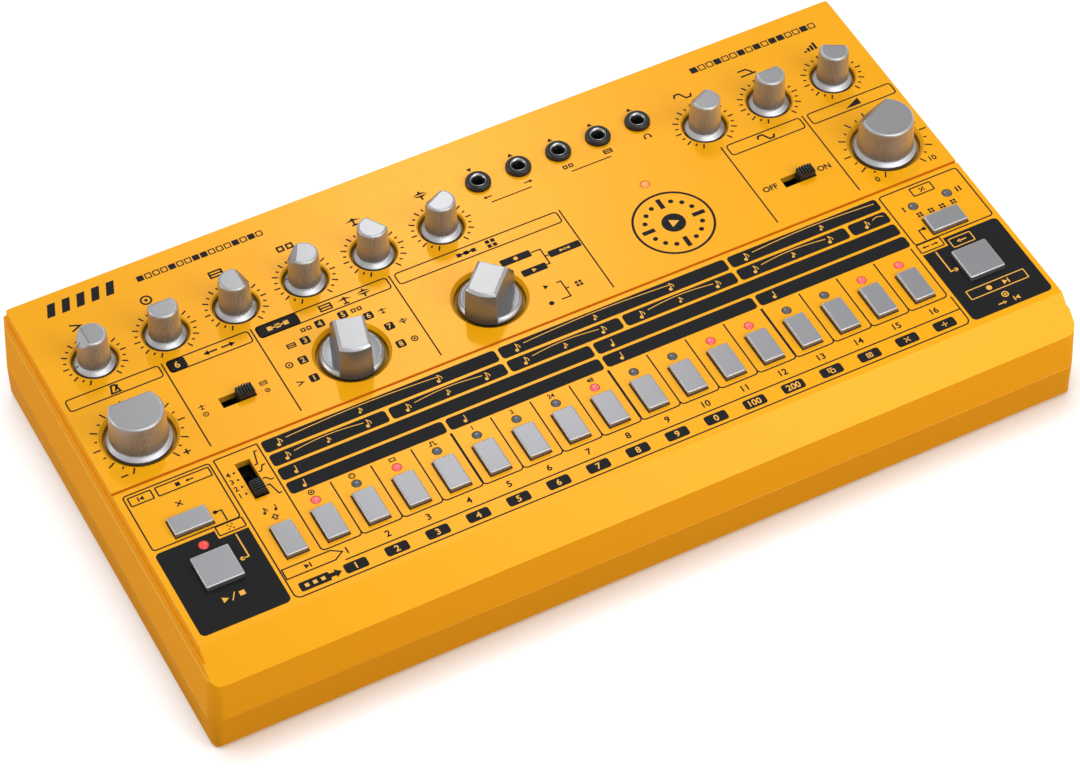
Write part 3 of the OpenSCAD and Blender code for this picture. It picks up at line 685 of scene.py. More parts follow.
def add_round_knobs(nodes, skirt_r, foot_r, top_r, chord, teeth):
    """Round knobs of one size; chord is how far behind the axis the pointer face begins."""
    pattern = round_knob(skirt_r, foot_r, top_r, chord, teeth)
    mark = pointer_mark(skirt_r, foot_r, chord)
    for node in nodes:
        x, y = joint_place(node)
        # Finishes: painted highlight on rim and skirt, painted light on the knurl, painted shade on
        # one flank of each tooth.
        add_knob(pattern, node, rest_turn(node), 32, (rim_highlight_silver, on_rim),
                 (knurl_painted_light_silver, on_knurl), (shaded_flank, on_flank(x, y)))
        settle(copy_mesh(mark), node + "_mark", pointer_ink, node,
               place=(x, y, PANEL_Z), turn=rest_turn(node))
    bpy.data.objects.remove(pattern)
    bpy.data.objects.remove(mark)


def selector_knob():
    """A round dished skirt with a tall bar across it; the bar's pointer end is cut away."""
    low = SKIRT_LIP
    skirt = lathe([(0, low), (9.6, low), (10.4, low), (10.55, low + 0.15), (10.5, low + 0.5),
                   (10.3, -0.3), (9.6, 0.42), (9.4, 0.55), (9.2, 0.58), (8.95, 0.55),
                   (7.0, 0.38), (5.0, 0.3), (0, 0.3)], 96)
    bar = lathe([(0, low), (10.55, low), (10.5, 0.5), (10.2, KNOB_TOP), (0, KNOB_TOP)], 96)
    half_top, half_foot = 5.1, 5.55
    lean = math.atan((half_foot - half_top) / (KNOB_TOP - low))
    edit(bar)
    for side in (1, -1):
        bpy.ops.mesh.select_all(action="SELECT")
        bpy.ops.mesh.bisect(plane_co=(side * half_top, 0, KNOB_TOP),
                            plane_no=(side * math.cos(lean), 0, math.sin(lean)),
                            use_fill=True, clear_outer=True)
    leave_edit()
    pointer_face(bar, 3.5)
    merge_flat_faces(bar)
    bevel_edges(bar, lambda a, b: min(a.z, b.z) > KNOB_TOP - 0.01 and min(a.y, b.y) < 3.4, 0.85, 1)
    apply_modifier(bar, "BEVEL", width=0.1, segments=2, limit_method="ANGLE",
                   angle_limit=math.radians(25))
    flatten_faces(bar, 0.12, 15)
    beads = [slab(x - 0.09, -8.9, x + 0.09, 7.4, 0.2, 0.52) for x in (-5.5, 5.5)]
    return join([skirt, bar, *beads])


def add_selectors():
    pattern = selector_knob()
    for node, turn in zip(SELECTORS, (15, 45)):
        # Painted highlight on the selector's rim and skirt.
        add_knob(pattern, node, turn, 35, (rim_highlight_silver, on_rim))
    bpy.data.objects.remove(pattern)


add_round_knobs(SMALL_KNOBS, skirt_r=6.68, foot_r=5.4, top_r=4.4, chord=2.3, teeth=46)
add_round_knobs(LARGE_KNOBS, skirt_r=10.55, foot_r=9.45, top_r=8.3, chord=5.0, teeth=86)
add_selectors()


def recess_ring(node, outer):
    """A black rubber ring on the floor of a knob's recess: painted shade for the dark gap under the
    skirt.
    """
    return moved(tube(5.2, outer, 0, 0.5, 48), *joint_place(node), RECESS_Z)


settle(join([recess_ring(node, 6.0) for node in SMALL_KNOBS]
            + [recess_ring(node, 9.6) for node in LARGE_KNOBS + SELECTORS]),
       "recess_shade_rings", foot_rubber)


# ---------- keys ----------

KEY_TOP_Z = PANEL_Z + 1.7
FLANGE_Z = PANEL_Z - 4.05


def key_cap(width, length):
    """A key with softly rounded corners and a rounded rim, on a flange; add_key paints the rim with
    a highlight.
    """
    cap = centred_slab(width, length, FLANGE_Z, KEY_TOP_Z)
    bevel_edges(cap, lambda a, b: max(a.z, b.z) > KEY_TOP_Z - 0.01, 0.42, 4)
    flatten_faces(cap, 0.08, 20)
    flange = centred_slab(width + 2.2, length + 2.2, FLANGE_Z - 0.02, FLANGE_Z + 1.25)
    stem = lathe([(0, -6.5), (1.4, -6.5), (1.6, -6.3), (1.6, 0), (0, 0)], 24)
    return join([cap, flange, moved(stem, 0, 0, FLANGE_Z)])


def on_key_rim(face, height):
    return height > 1 and 0.1 < face.normal.z < 0.99


def add_key(node, width, length):
    centre = node_centre(node)
    cap = settle(key_cap(width, length), node + "_cap", key_silver, node, [node],
                 (centre.x, centre.y, 0))
    # Painted highlight on the key's rounded rim.
    second_finish(cap, rim_highlight_silver, on_key_rim)


KEY_SHORT, KEY_LONG = 7.15, 12.8
CAP_SIZE = {key: (KEY_SHORT, KEY_LONG) for key in STEP_KEYS + ["function_button"]}
CAP_SIZE.update({key: (KEY_LONG, KEY_LONG) for key in ("start_button", "tap_button")})
CAP_SIZE.update({key: (KEY_LONG, KEY_SHORT) for key in ("clear_button", "pattern_button")})
for key, (width, length) in CAP_SIZE.items():
    add_key(key, width, length)


# ---------- slide caps ----------

SLIDE_CAP_FOOT = 36
RIBS = 6


def ribbed_cap(width, length, top_z, along_x):
    """A black cap whose crown carries a row of ribs across its travel."""
    run = width if along_x else length
    across = length if along_x else width
    crown = top_z - 0.9
    parts = [centred_slab(run, across, SLIDE_CAP_FOOT, crown)]
    pitch = run / RIBS
    for i in range(RIBS):
        middle = -run / 2 + pitch * (i + 0.5)
        lift = 0.45 * math.sin(math.pi * (i + 0.5) / RIBS)
        parts.append(slab(middle - pitch * 0.3, -across / 2 + 0.05, middle + pitch * 0.3,
                          across / 2 - 0.05, crown - 0.1, top_z - 0.45 + lift))
    cap = join(parts)
    apply_modifier(cap, "BEVEL", width=0.12, segments=2, limit_method="ANGLE",
                   angle_limit=math.radians(40))
    if not along_x:
        cap.data.transform(Matrix.Rotation(math.pi / 2, 4, "Z"))
    return cap


def add_slider(node, width, length, along_x):
    low, high = node_box(node)
    centre = node_centre(node)
    cap = ribbed_cap(width, length, high.z, along_x)
    stem = centred_slab(2.6, 2.6, low.z, SLIDE_CAP_FOOT + 0.2)
    settle(join([cap, stem]), node + "_cap", black_abs, node, [node],
           (centre.x, centre.y, 0))


add_slider("select_slider", 5.6, 3.6, along_x=True)
add_slider("distortion_slider", 5.6, 3.6, along_x=True)
add_slider("scale_slider", 3.9, 5.2, along_x=False)


# ---------- lamps ----------

def lamp_lens(x, y, radius):
    """A low domed epoxy lens that stands just out of the panel."""
    obj = lathe([(0, -8), (radius, -8), (radius, -0.3), (radius - 0.08, -0.06),
                 (radius - 0.3, 0.08), (radius * 0.6, 0.2), (radius * 0.3, 0.26), (0, 0.28)], 40)
    return moved(obj, x, y, PANEL_Z)


def add_lamps(name, places, radius, rim, core, node="status_leds"):
    """Lenses of one look, rim in one finish and dome in another."""
    lenses = settle(join([lamp_lens(x, y, radius) for x, y in places]), name, rim,
                    replaces=[node])
    second_finish(lenses, core, lambda face, height: height > 0.09)


lit = [(STEP_X[i - 1], LAMP_ROW_Y) for i in LIT_STEPS]
dark = [(x, LAMP_ROW_Y) for i, x in enumerate(STEP_X, 1) if i not in LIT_STEPS]
start_lamp = (node_centre("start_button").x, LAMP_ROW_Y)
group_lamps = [(128.2, -18.2), (141.0, -18.2)]
distortion_lamp = (55.6, 31.1)
add_lamps("step_lamps_lit", lit, 1.6, lamp_lit, lamp_lit_core, "step_leds")
add_lamps("step_lamps_off", dark, 1.6, lamp_off, lamp_off_core, "step_leds")
add_lamps("start_lamp", [start_lamp], 1.68, lamp_lit, lamp_start_core)
add_lamps("group_lamps", group_lamps, 1.68, lamp_off, lamp_off_core)
add_lamps("distortion_lamp", [distortion_lamp], 1.68, lamp_orange, lamp_orange_core)


# ---------- sockets ----------

def ring_nut(outer, inner, height):
    """A ring nut with an upright rim and a rounded crown, standing on z = 0."""
    w, h = outer - inner, height
    return lathe([(inner, 0), (outer, 0), (outer, 0.5 * h), (outer - 0.06 * w, 0.62 * h),
                  (outer - 0.33 * w, 0.88 * h), (outer - 0.52 * w, 0.97 * h),
                  (outer - 0.7 * w, h), (inner + 0.18 * w, h), (inner + 0.06 * w, 0.96 * h),
                  (inner, 0.88 * h), (inner, 0)], 48)


def on_rear(obj, x):
    """Turns a piece that stands on z = 0 so that it stands on the rear wall."""
    obj.data.transform(Matrix.Translation((x, REAR_Y, SOCKET_Z))
                       @ Matrix.Rotation(-math.pi / 2, 4, "X"))
    return obj


def top_jack(foot_z):
    """A 3.5 mm jack, panel face at z = 0: a lipped, conical mouth on a square body with a bore."""
    top, bore, outer = 1.85, 1.8, 2.85
    sleeve = lathe([(0, -13), (outer, -13), (outer, top - 0.16), (outer - 0.06, top - 0.05),
                    (outer - 0.15, top), (outer - 0.26, top - 0.05), (bore + 0.4, top - 0.5),
                    (bore + 0.1, top - 1.0), (bore, top - 1.3), (bore, -12), (0, -12)], 40)
    body = tube(3.6, 6.36, foot_z, -2.5, 4)
    body.data.transform(Matrix.Rotation(math.pi / 4, 4, "Z"))
    contact = slab(-0.3, 1.35, 0.3, 1.82, -2.5, 0.45)
    return join([sleeve, body, contact])


JACK_X = [7.5, 22.3, 37.1, 51.9, 66.7]
JACK_ROW_Y = 57
jack_foot = node_box("top_jacks")[0].z - PANEL_Z
jacks = settle(join([moved(top_jack(jack_foot), x, JACK_ROW_Y, PANEL_Z) for x in JACK_X]),
               "top_jack_sleeves", nickel, replaces=["top_jacks"], smooth=40)
second_finish(jacks, black_abs, lambda face, height: height < 1.3)
settle(join([moved(ring_nut(4.3, 2.95, 2.0), x, JACK_ROW_Y, PANEL_Z) for x in JACK_X]
            + [on_rear(ring_nut(4.0, 3.05, 1.0), x) for x in REAR_JACK_X]
            + [on_rear(ring_nut(7.0, 5.1, 1.0), MAIN_JACK_X)]),
       "ring_nuts", black_abs, replaces=["panel_nuts"], smooth=40)


def pot_nut(node):
    """The hexagon nut of a pot, on the floor of its recess."""
    return moved(tube(3.6, 5, 0, 1.1, 6), *joint_place(node), RECESS_Z)


settle(join([pot_nut(node) for node in SMALL_KNOBS + LARGE_KNOBS + SELECTORS]), "pot_nuts",
       zinc_steel, replaces=["panel_nuts"], smooth=20)


# ---------- printed panel ----------

INK = 0.05              # how far a layer of ink stands on what is under it
LINE = 0.46             # width of the printed lines
black, yellow = [], []


def disc(x, y, radius, steps=20):
    return arc(x, y, radius, 0, 360 * (1 - 1 / steps), steps - 1)


def box_outline(x0, y0, x1, y1, radius):
    """Outline of a box with round corners."""
    radius = max(radius, 0.02)
    corners = [(x1 - radius, y1 - radius, 0), (x0 + radius, y1 - radius, 90),
               (x0 + radius, y0 + radius, 180), (x1 - radius, y0 + radius, 270)]
    return [p for x, y, turn in corners for p in arc(x, y, radius, turn, turn + 90, 5)]


def line_outline(points, width):
    """Outline of a line of some width, with mitred corners."""
    points = [Vector(p) for p in points]
    runs = [(b - a).normalized() for a, b in zip(points, points[1:])]
    left, right = [], []
    for i, point in enumerate(points):
        before, after = runs[max(i - 1, 0)], runs[min(i, len(runs) - 1)]
        middle = (before + after).normalized()
        reach = width / 2 / max(middle.dot(after), 0.4)
        side = Vector((-middle.y, middle.x)) * reach
        left.append(point + side)
        right.append(point - side)
    return left + right[::-1]


def ink_object(kind, data, ink):
    data.dimensions = "2D"
    data.fill_mode = "BOTH"
    data.extrude = INK / 2
    obj = bpy.data.objects.new(kind, data)
    bpy.context.collection.objects.link(obj)
    ink.append(obj)
    return obj


def fill(ink, outline, *holes):
    """Prints one shape; the further outlines are holes in it."""
    data = bpy.data.curves.new("shape", "CURVE")
    for points in (outline, *holes):
        spline = data.splines.new("POLY")
        spline.points.add(len(points) - 1)
        spline.points.foreach_set("co", [c for x, y in points for c in (x, y, 0, 1)])
        spline.use_cyclic_u = True
    ink_object("shape", data, ink)


def line(ink, *points, width=LINE):
    fill(ink, line_outline(points, width))


def ring(ink, x, y, radius, width):
    fill(ink, disc(x, y, radius + width / 2, 48), disc(x, y, radius - width / 2, 48))


def box(ink, x0, y0, x1, y1, radius):
    fill(ink, box_outline(x0, y0, x1, y1, radius))


def frame_box(ink, x0, y0, x1, y1, radius=1.3, width=LINE):
    """A line round a box; the corners given are those of the line's outside."""
    inner = box_outline(x0 + width, y0 + width, x1 - width, y1 - width, radius - width)
    fill(ink, box_outline(x0, y0, x1, y1, radius), inner)


def key_hole(node):
    """Outline of a key's opening, to leave free in the print."""
    margin = 0.34
    half_x, half_y = (size / 2 + margin for size in CAP_SIZE[node])
    x, y, _ = node_centre(node)
    return box_outline(x - half_x, y - half_y, x + half_x, y + half_y, 0.5)


def lettering(ink, words, x, y, height=2.5):
    """Numbers, or a word, centred on (x, y) in a bold plain face."""
    data = bpy.data.curves.new("number", "FONT")
    data.body = words
    data.size = height / 0.72
    data.offset = height * 0.03
    obj = ink_object("number", data, ink)
    obj["middle"] = (x, y)
    obj["height"] = height


def print_layer(name, material, ink, z):
    """Turns all shapes of one ink into a mesh that lies at height z."""
    select(ink)
    bpy.ops.object.convert(target="MESH")
    for obj in ink:
        if "middle" in obj:
            spots = [v.co for v in obj.data.vertices]
            low = Vector([min(s[i] for s in spots) for i in range(3)])
            high = Vector([max(s[i] for s in spots) for i in range(3)])
            grow = obj["height"] / (high.y - low.y)
            obj.data.transform(Matrix.Translation((*obj["middle"], 0))
                               @ Matrix.Diagonal((grow, grow, 1, 1))
                               @ Matrix.Translation(-(low + high) / 2))
    settle(join(ink), name, material, place=(0, 0, z + INK / 2), smooth=0)


# Signs for the controls, on a field two units high. A sign is made of strokes, and a stroke is
# its kind and its numbers: lines and solids run through points, blocks and frames have two
# corners, dots, rings and arches have a middle and a radius.
SIGNS = {
    "accent": "line -0.9 0.8 0.9 0 -0.9 -0.8",
    "kick": "dot 0 0 0.32; ring 0 0 0.95",
    "snare": "line -1.3 0 1.3 0; frame -1.35 -0.85 1.35 0.85",
    "tom": "frame -1.6 -0.7 -0.2 0.7; frame 0.2 -0.7 1.6 0.7",
    "cymbal": "line 0 0.2 0 -1; line -0.6 -0.95 0.6 -0.95; "
              "solid -1.5 0.1 -0.4 0.45 0 0.85 0.4 0.45 1.5 0.1",
    "hihat": "line 0 1.1 0 0.7; line 0 -0.4 0 -1.1; solid -1.4 0.3 0 0.8 1.4 0.3; "
             "solid -1.4 0 1.4 0 0 -0.5",
    "clip": "line -1.7 0 -1.35 0.75 -0.4 0.75 0.4 -0.75 1.35 -0.75 1.7 0",
    "tone": "line -1.6 0.55 0.1 0.55 1.0 -0.65; line -1.6 -0.85 1.6 -0.85",
    "level": "block -1.45 -0.9 -0.95 -0.45; block -0.7 -0.9 -0.2 0; block 0.05 -0.9 0.55 0.45; "
             "block 0.8 -0.9 1.3 0.9",
    "metronome": "line -0.85 -0.9 -0.35 0.9 0.35 0.9 0.85 -0.9 -1.05 -0.9; line 0 -0.5 0.85 0.75",
    "quarter": "line -0.02 -0.6 -0.02 1; dot -0.35 -0.65 0.42",
    "eighth": "line -0.12 -0.6 -0.12 0.95 0.3 0.55 0.55 0 0.4 -0.35; dot -0.45 -0.65 0.42",
    "play": "solid -0.7 -0.85 0.85 0 -0.7 0.85",
    "stop": "block -0.75 -0.75 0.75 0.75",
    "record": "dot 0 0 0.8",
    "cross": "line -0.75 -0.75 0.75 0.75; line -0.75 0.75 0.75 -0.75",
    "plus": "line -0.9 0 0.9 0; line 0 -0.9 0 0.9",
    "minus": "line -0.9 0 0.9 0",
    "grid": "block -0.95 -0.95 -0.15 -0.15; block -0.95 0.15 -0.15 0.95; "
            "block 0.15 -0.95 0.95 -0.15; block 0.15 0.15 0.95 0.95",
    "chain": "line -1.1 0 1.1 0; block -1.95 -0.45 -1.05 0.45; block -0.45 -0.45 0.45 0.45; "
             "block 1.05 -0.45 1.95 0.45",
    "right": "line -1.3 0 0.7 0; solid 0.4 -0.6 1.4 0 0.4 0.6",
    "left": "line 1.3 0 -0.7 0; solid -0.4 -0.6 -1.4 0 -0.4 0.6",
    "to_start": "line -0.8 -0.8 -0.8 0.8; solid 0.8 -0.8 0.8 0.8 -0.5 0",
    "to_next": "line 0.8 -0.8 0.8 0.8; solid -0.8 -0.8 -0.8 0.8 0.5 0",
    "chance": "dot -0.7 -0.7 0.24; dot 0.7 0.7 0.24; dot -0.7 0.7 0.24; dot 0.7 -0.7 0.24; "
              "dot 0 0 0.24",
    "copy": "line -0.6 -0.3 -0.9 -0.3 -0.9 0.85 0.3 0.85 0.3 0.6; frame -0.4 -1 1 0.4",
    "paste": "frame -0.9 -0.9 0.9 0.8; dot 0 -0.05 0.35",
    "wedge": "solid -1.7 -0.75 1.7 -0.75 1.7 0.85",
    "shift": "line -0.35 -0.8 -0.35 0 -0.85 0 0 0.9 0.85 0 0.35 0 0.35 -0.8 -0.52 -0.8",
    "pulse": "line -1.4 -0.7 -0.5 -0.7 -0.5 0.7 0.5 0.7 0.5 -0.7 1.4 -0.7",
    "repeat": "line -0.75 -0.75 0.75 0.75; dot -0.6 0.4 0.26; dot 0.6 -0.4 0.26",
    "touch": "dot 0 0 0.35; ring 0 0 0.85",
    "phones": "arch 0 -0.2 0.95; block -1.18 -0.95 -0.62 -0.1; block 0.62 -0.95 1.18 -0.1",
    "socket": "dot -0.4 0 0.17; dot 0.4 0 0.17; dot 0 0.4 0.17; ring 0 0 0.9",
    "plug": "frame -1.05 -0.7 1.05 0.7",
}


def sign(ink, name, x, y, size, width=LINE):
    """Prints one of the signs; size is half its height."""
    for stroke in SIGNS[name].split(";"):
        kind, *numbers = stroke.split()
        numbers = [size * float(n) for n in numbers]
        points = [(x + a, y + b) for a, b in zip(numbers[::2], numbers[1::2])]
        if kind == "line":
            line(ink, *points, width=width)
        elif kind == "solid":
            fill(ink, points)
        elif kind == "block":
            (x0, y0), (x1, y1) = points
            fill(ink, [(x0, y0), (x1, y0), (x1, y1), (x0, y1)])
        elif kind == "frame":
            frame_box(ink, *points[0], *points[1], 0.1, width)
        elif kind == "dot":
            fill(ink, disc(*points[0], numbers[2]))
        elif kind == "ring":
            ring(ink, *points[0], numbers[2], width)
        elif kind == "arch":
            line(ink, *arc(*points[0], numbers[2], 0, 180, 10), width=width)


def signs(ink, names, x, y, pitch, size, width=LINE):
    """A row of signs, centred on x."""
    names = names.split()
    for i, name in enumerate(names):
        sign(ink, name, x + pitch * (i - (len(names) - 1) / 2), y, size, width)


def tag(x0, y0, x1, y1, radius=0.5):
    """A black box for a yellow number or sign; gives its middle."""
    box(black, x0, y0, x1, y1, radius)
    return (x0 + x1) / 2, (y0 + y1) / 2


def print_scale(node, short, long):
    """The scale round a knob: 21 strokes over 300 degrees, every other one longer."""
    x, y = joint_place(node)
    for i in range(21):
        inner, outer = short if i % 2 else long
        line(black, polar(x, y, inner, 240 - 15 * i), polar(x, y, outer, 240 - 15 * i), width=0.52)


for node in SMALL_KNOBS:
    print_scale(node, (8.9, 10.0), (8.7, 10.7))
for node in LARGE_KNOBS:
    print_scale(node, (13.1, 14.1), (13.0, 15.5))

KNOB_SIGNS = "accent kick snare tom cymbal hihat clip tone level".split()
for node, name in zip(SMALL_KNOBS, KNOB_SIGNS):
    sign(black, name, joint_place(node)[0], 60.8, 1.8, 0.62)
SCALE_END_X, SCALE_END_Y = 10.5, -2.4       # beside a large knob's axis, and on the panel
for side, name, number in ((-1, "minus", "0"), (1, "plus", "10")):
    tempo_x, volume_x = (joint_place(node)[0] + side * SCALE_END_X for node in LARGE_KNOBS)
    sign(black, name, tempo_x, SCALE_END_Y, 1.3, 0.55)
    lettering(black, number, volume_x, SCALE_END_Y, 2.2)

# Titles in line frames, and the rules between the fields.
FIELD_TOP, FIELD_FOOT = 34.1, 28.75
TITLE_Y = 31.4
for x0, x1, names in ((-149.5, -117.2, "metronome"), (-115.0, -86.2, ""), (-84.1, -37.4, ""),
                      (-34.9, 24.3, "chain grid"), (87.2, 115.4, "clip"), (117.9, 150.2, "wedge")):
    frame_box(black, x0, FIELD_FOOT, x1, FIELD_TOP)
    signs(black, names, (x0 + x1) / 2, (FIELD_FOOT + FIELD_TOP) / 2, 9, 1.75, 0.65)
for x in (-116.16, -85.27, -36.38, 25.33, 85.7, 116.5):
    line(black, (x, FIELD_TOP), (x, -3.9))
lettering(yellow, "6", *tag(-115.0, FIELD_FOOT, -108.8, FIELD_TOP, 1.3), 2.7)
signs(black, "left right", -97.3, TITLE_Y, 6, 1.75, 0.65)
sign(yellow, "chain", *tag(-84.1, FIELD_FOOT, -69.6, FIELD_TOP, 1.3), 1.9, 0.5)
signs(black, "snare cymbal hihat", -53.3, TITLE_Y, 6.8, 1.65, 0.55)

# Numbers and signs round the instrument selector.
VOICE_SIGNS = "accent kick snare tom tom cymbal hihat touch".split()
VOICE_TAGS = [(-75.9, 6.4), (-75.9, 14.7), (-71.8, 21.8), (-64.7, 26.0), (-56.6, 26.0),
              (-49.5, 21.8), (-45.5, 14.7), (-45.5, 6.4)]
for i, ((x, y), name) in enumerate(zip(VOICE_TAGS, VOICE_SIGNS), 1):
    lettering(yellow, str(i), *tag(x - 1.55, y - 1.55, x + 1.55, y + 1.55, 0.6), 2.1)
    sign(black, name, x + (-4.8 if i < 5 else 4.8), y, 1.15, 0.42)

# Play and record choices of the mode selector, joined by brackets.
for x0, y0, x1, y1, name in ((-2.2, 20.3, 8.5, 23.2, "record"), (1.9, 13.2, 10.7, 16.0, "play"),
                             (13.4, 16.8, 24.8, 19.6, "chain")):
    sign(yellow, name, *tag(x0, y0, x1, y1), 0.95, 0.3)
sign(black, "play", 6.2, 6.4, 1.1)
sign(black, "record", 4.6, -0.7, 1.1)
sign(black, "grid", 16.3, 2.9, 1.2)
line(black, (8.7, 21.7), (12, 21.7), (12, 14.8), (10.8, 14.8))
line(black, (12, 18.2), (13.3, 18.2))
line(black, (10, 6.4), (11.5, 6.4), (11.5, -0.7), (8.2, -0.7))
line(black, (11.5, 2.9), (12.7, 2.9))

# Beside the slide switches.
sign(black, "cymbal", -112.2, 11.9, 1.0, 0.32)
sign(black, "kick", -112.2, 8.6, 0.85, 0.3)
sign(black, "snare", -91.0, 11.9, 0.95, 0.3)
sign(black, "touch", -91.0, 8.6, 0.85, 0.3)
lettering(black, "OFF", 91.1, 10.5, 2.3)
lettering(black, "ON", 111.3, 10.5, 2.3)

# Sockets along the back: arrows for in and out, and what each one carries.
ARROW_Y, BRACKET_Y = 63.5, 47.4
for i, x in enumerate(JACK_X):
    tip = -0.75 if i == 0 else 0.75
    fill(black, [(x - 0.9, ARROW_Y - tip), (x + 0.9, ARROW_Y - tip), (x, ARROW_Y + tip)])
for x, name in zip(JACK_X, ("left", "right", "tom", "snare", "phones")):
    sign(black, name, x, 50.0, 1.15, 0.42)
for i in (0, 2):
    line(black, (JACK_X[i], BRACKET_Y), (JACK_X[i + 1], BRACKET_Y), width=0.4)


def beat_row(x0, x1, y, size, filled):
    """A row of sixteen squares, some of them filled, in place of a title."""
    for i in range(16):
        x = x0 + (x1 - x0) * i / 15
        corners = x - size / 2, y - size / 2, x + size / 2, y + size / 2
        if i in filled:
            box(black, *corners, 0.25)
        else:
            frame_box(black, *corners, 0.3, 0.38)


beat_row(-107.5, -65.5, 70.2, 2.3, (0, 4, 7, 8, 12, 14))
beat_row(95, 140.5, 69.5, 2.5, (0, 3, 6, 8, 10, 11, 14))
for i in range(5):
    x = -140.5 + 5.1 * i
    fill(black, [(x, 68.2), (x + 2.7, 68.2), (x + 4.7, 73.6), (x + 2.0, 73.6)])


def beat_wheel(x, y, radius):
    """A wheel of sixteen beats, every fourth one a stroke."""
    ring(black, x, y, radius, 0.8)
    fill(black, disc(x, y, radius * 0.3, 40))
    sign(yellow, "play", x + 0.3, y, radius * 0.15)
    for i in range(16):
        turn = 90 - 22.5 * i
        if i % 4:
            fill(black, disc(*polar(x, y, radius * 0.7, turn), 0.85))
        else:
            line(black, polar(x, y, radius * 0.52, turn), polar(x, y, radius * 0.85, turn),
                 width=1.6)


beat_wheel(55.8, 11.8, 13.4)

# Note patterns: four rows of black bars across the steps.
CELL_LEFT, CELL_RIGHT = -102.2, 118.7
BAR_ROWS = [(-9.6, -14.6, (-20.3, 62.6)),
            (-15.7, -20.7, (-61.8, -20.3, 20.95, 62.6, 104.0)),
            (-21.8, -26.9, (7.25,)),
            (-28.0, -33.0, (-48.0, 7.25, 62.6))]
for top, foot, gaps in BAR_ROWS:
    ends = [CELL_LEFT - 0.55, *gaps, CELL_RIGHT + 0.55]
    for left, right in zip(ends, ends[1:]):
        box(black, left + 0.55, foot, right - 0.55, top, 1.2)


def slur(x0, x1, y, rise):
    """A thin arch between two notes."""
    points = [(x0 + (x1 - x0) * i / 12, y + rise * math.sin(math.pi * i / 12)) for i in range(13)]
    line(yellow, *points, width=0.28)


for name, size, y, steps in (
        ("eighth", 1.5, -12.2, (1, 5, 7, 11, 13)), ("eighth", 1.05, -12.5, (3, 9, 15)),
        ("eighth", 1.5, -18.3, (1, 3, 4, 6, 7, 9, 10, 12, 13, 15, 16)),
        ("eighth", 1.05, -18.6, (2, 5, 8, 11, 14)), ("quarter", 1.5, -24.4, (1, 9)),
        ("quarter", 1.5, -30.5, (1, 5, 9, 13))):
    for step in steps:
        sign(yellow, name, STEP_X[step - 1], y, size, 0.3)
for x0, x1 in ((-94.2, -41.5), (-11.2, 41.5), (71.8, 117.3)):
    slur(x0, x1, -11.4, 1.0)
for step in (1, 4, 7, 10, 13):
    slur(STEP_X[step - 1] + 2.4, STEP_X[step + 1] - 1.4, -17.5, 1.0)
slur(STEP_X[15] + 2.4, 117.3, -17.5, 0.7)

# Cells under the bars: lamp, key and number of each step.
CELL_FOOT, CELL_ROUND = -57.0, 1.4
NUMBER_Y, RULE_Y, TAG_Y, FIELD_END, SYNC_Y = -60.2, -63.35, -66.7, -69.9, -34.9
cell_sides = [-103.3] + [(a + b) / 2 for a, b in zip(STEP_X, STEP_X[1:])] + [117.9]
for i, x in enumerate(cell_sides):
    line(black, (x, -9.6 if i == 0 else -33.9), (x, CELL_FOOT + CELL_ROUND),
         width=0.8 if i in (4, 8, 12) else LINE)


def round_foot(x0, x1, y, radius, before=(), after=()):
    """A black line along the foot of a field, with round corners; before and after lead on."""
    line(black, *before, *arc(x0 + radius, y + radius, radius, 180, 270, 5),
         *arc(x1 - radius, y + radius, radius, 270, 360, 5), *after)


for left, right in zip(cell_sides, cell_sides[1:]):
    round_foot(left, right, CELL_FOOT, CELL_ROUND)
line(black, (-98.5, RULE_Y), (118.6, RULE_Y))
round_foot(-118.0, 118.6, FIELD_END, 2, [(-118.0, -9.6)], [(118.6, -57.6)])
for i, x in enumerate(STEP_X):
    lettering(black, str(i + 1), x, NUMBER_Y)
for x, name in zip(STEP_X, ("touch", "socket", "plug", "pulse")):
    sign(black, name, x, SYNC_Y, 1.05, 0.36)
for x, number in zip(STEP_X[4:], ("1", "2", "24", "48")):
    lettering(black, number, x, SYNC_Y, 1.7)
TAG_MARKS = "1 2 3 4 5 6 7 8 9 0 100 200 copy paste cross plus".split()
for x, mark in zip(STEP_X, TAG_MARKS):
    place = tag(x - 3.85, TAG_Y - 1.9, x + 3.85, TAG_Y + 1.9, 0.9)
    if mark in SIGNS:
        sign(yellow, mark, *place, 1.15, 0.34)
    else:
        lettering(yellow, mark, *place, 2.4)

# Arrow boxes at the left ends of the two number rows.
fill(black, line_outline([(-101.2, -62.0), (-117.4, -62.0), (-117.4, -58.0), (-101.2, -58.0),
                          (-98.0, -60.0), (-101.3, -62.1)], LINE))
sign(black, "to_next", -109.6, -60.0, 1.2)
box(black, -115.3, -68.4, -105.2, -64.9, 0.6)
fill(black, [(-105.3, -67.4), (-105.3, -65.9), (-103.4, -65.9), (-103.4, -65.0), (-101.3, -66.65),
             (-103.4, -68.3), (-103.4, -67.4)])
signs(yellow, "stop stop stop", -110.2, -66.65, 2.7, 0.9)

# Scale switch: four numbers, a dot for each place, and the curves they stand for.
line(black, (-118.0, -9.6), (-103.3, -9.6))
for number, y in zip("4321", (-17.0, -20.05, -23.1, -26.15)):
    lettering(black, number, -116.4, y, 1.9)
    fill(black, disc(-114.4, y, 0.4))
for left_y, right_y in ((-17, -12), (-20, -18), (-23, -24.4), (-26, -30.5)):
    line(black, (-107.4, left_y), (-106.4, left_y), (-105.3, right_y), (-104.3, right_y))
signs(black, "eighth quarter", -110.3, -35.0, 3.6, 1.2, 0.34)
sign(black, "shift", -110.3, -38.4, 1.2, 0.34)


def lead(ink, x, y, end_x, end_y, radius):
    """A dot, and a line from it that runs across and then up or down."""
    fill(ink, disc(x, y, radius))
    line(ink, (x, y), (end_x, y), (end_x, end_y))


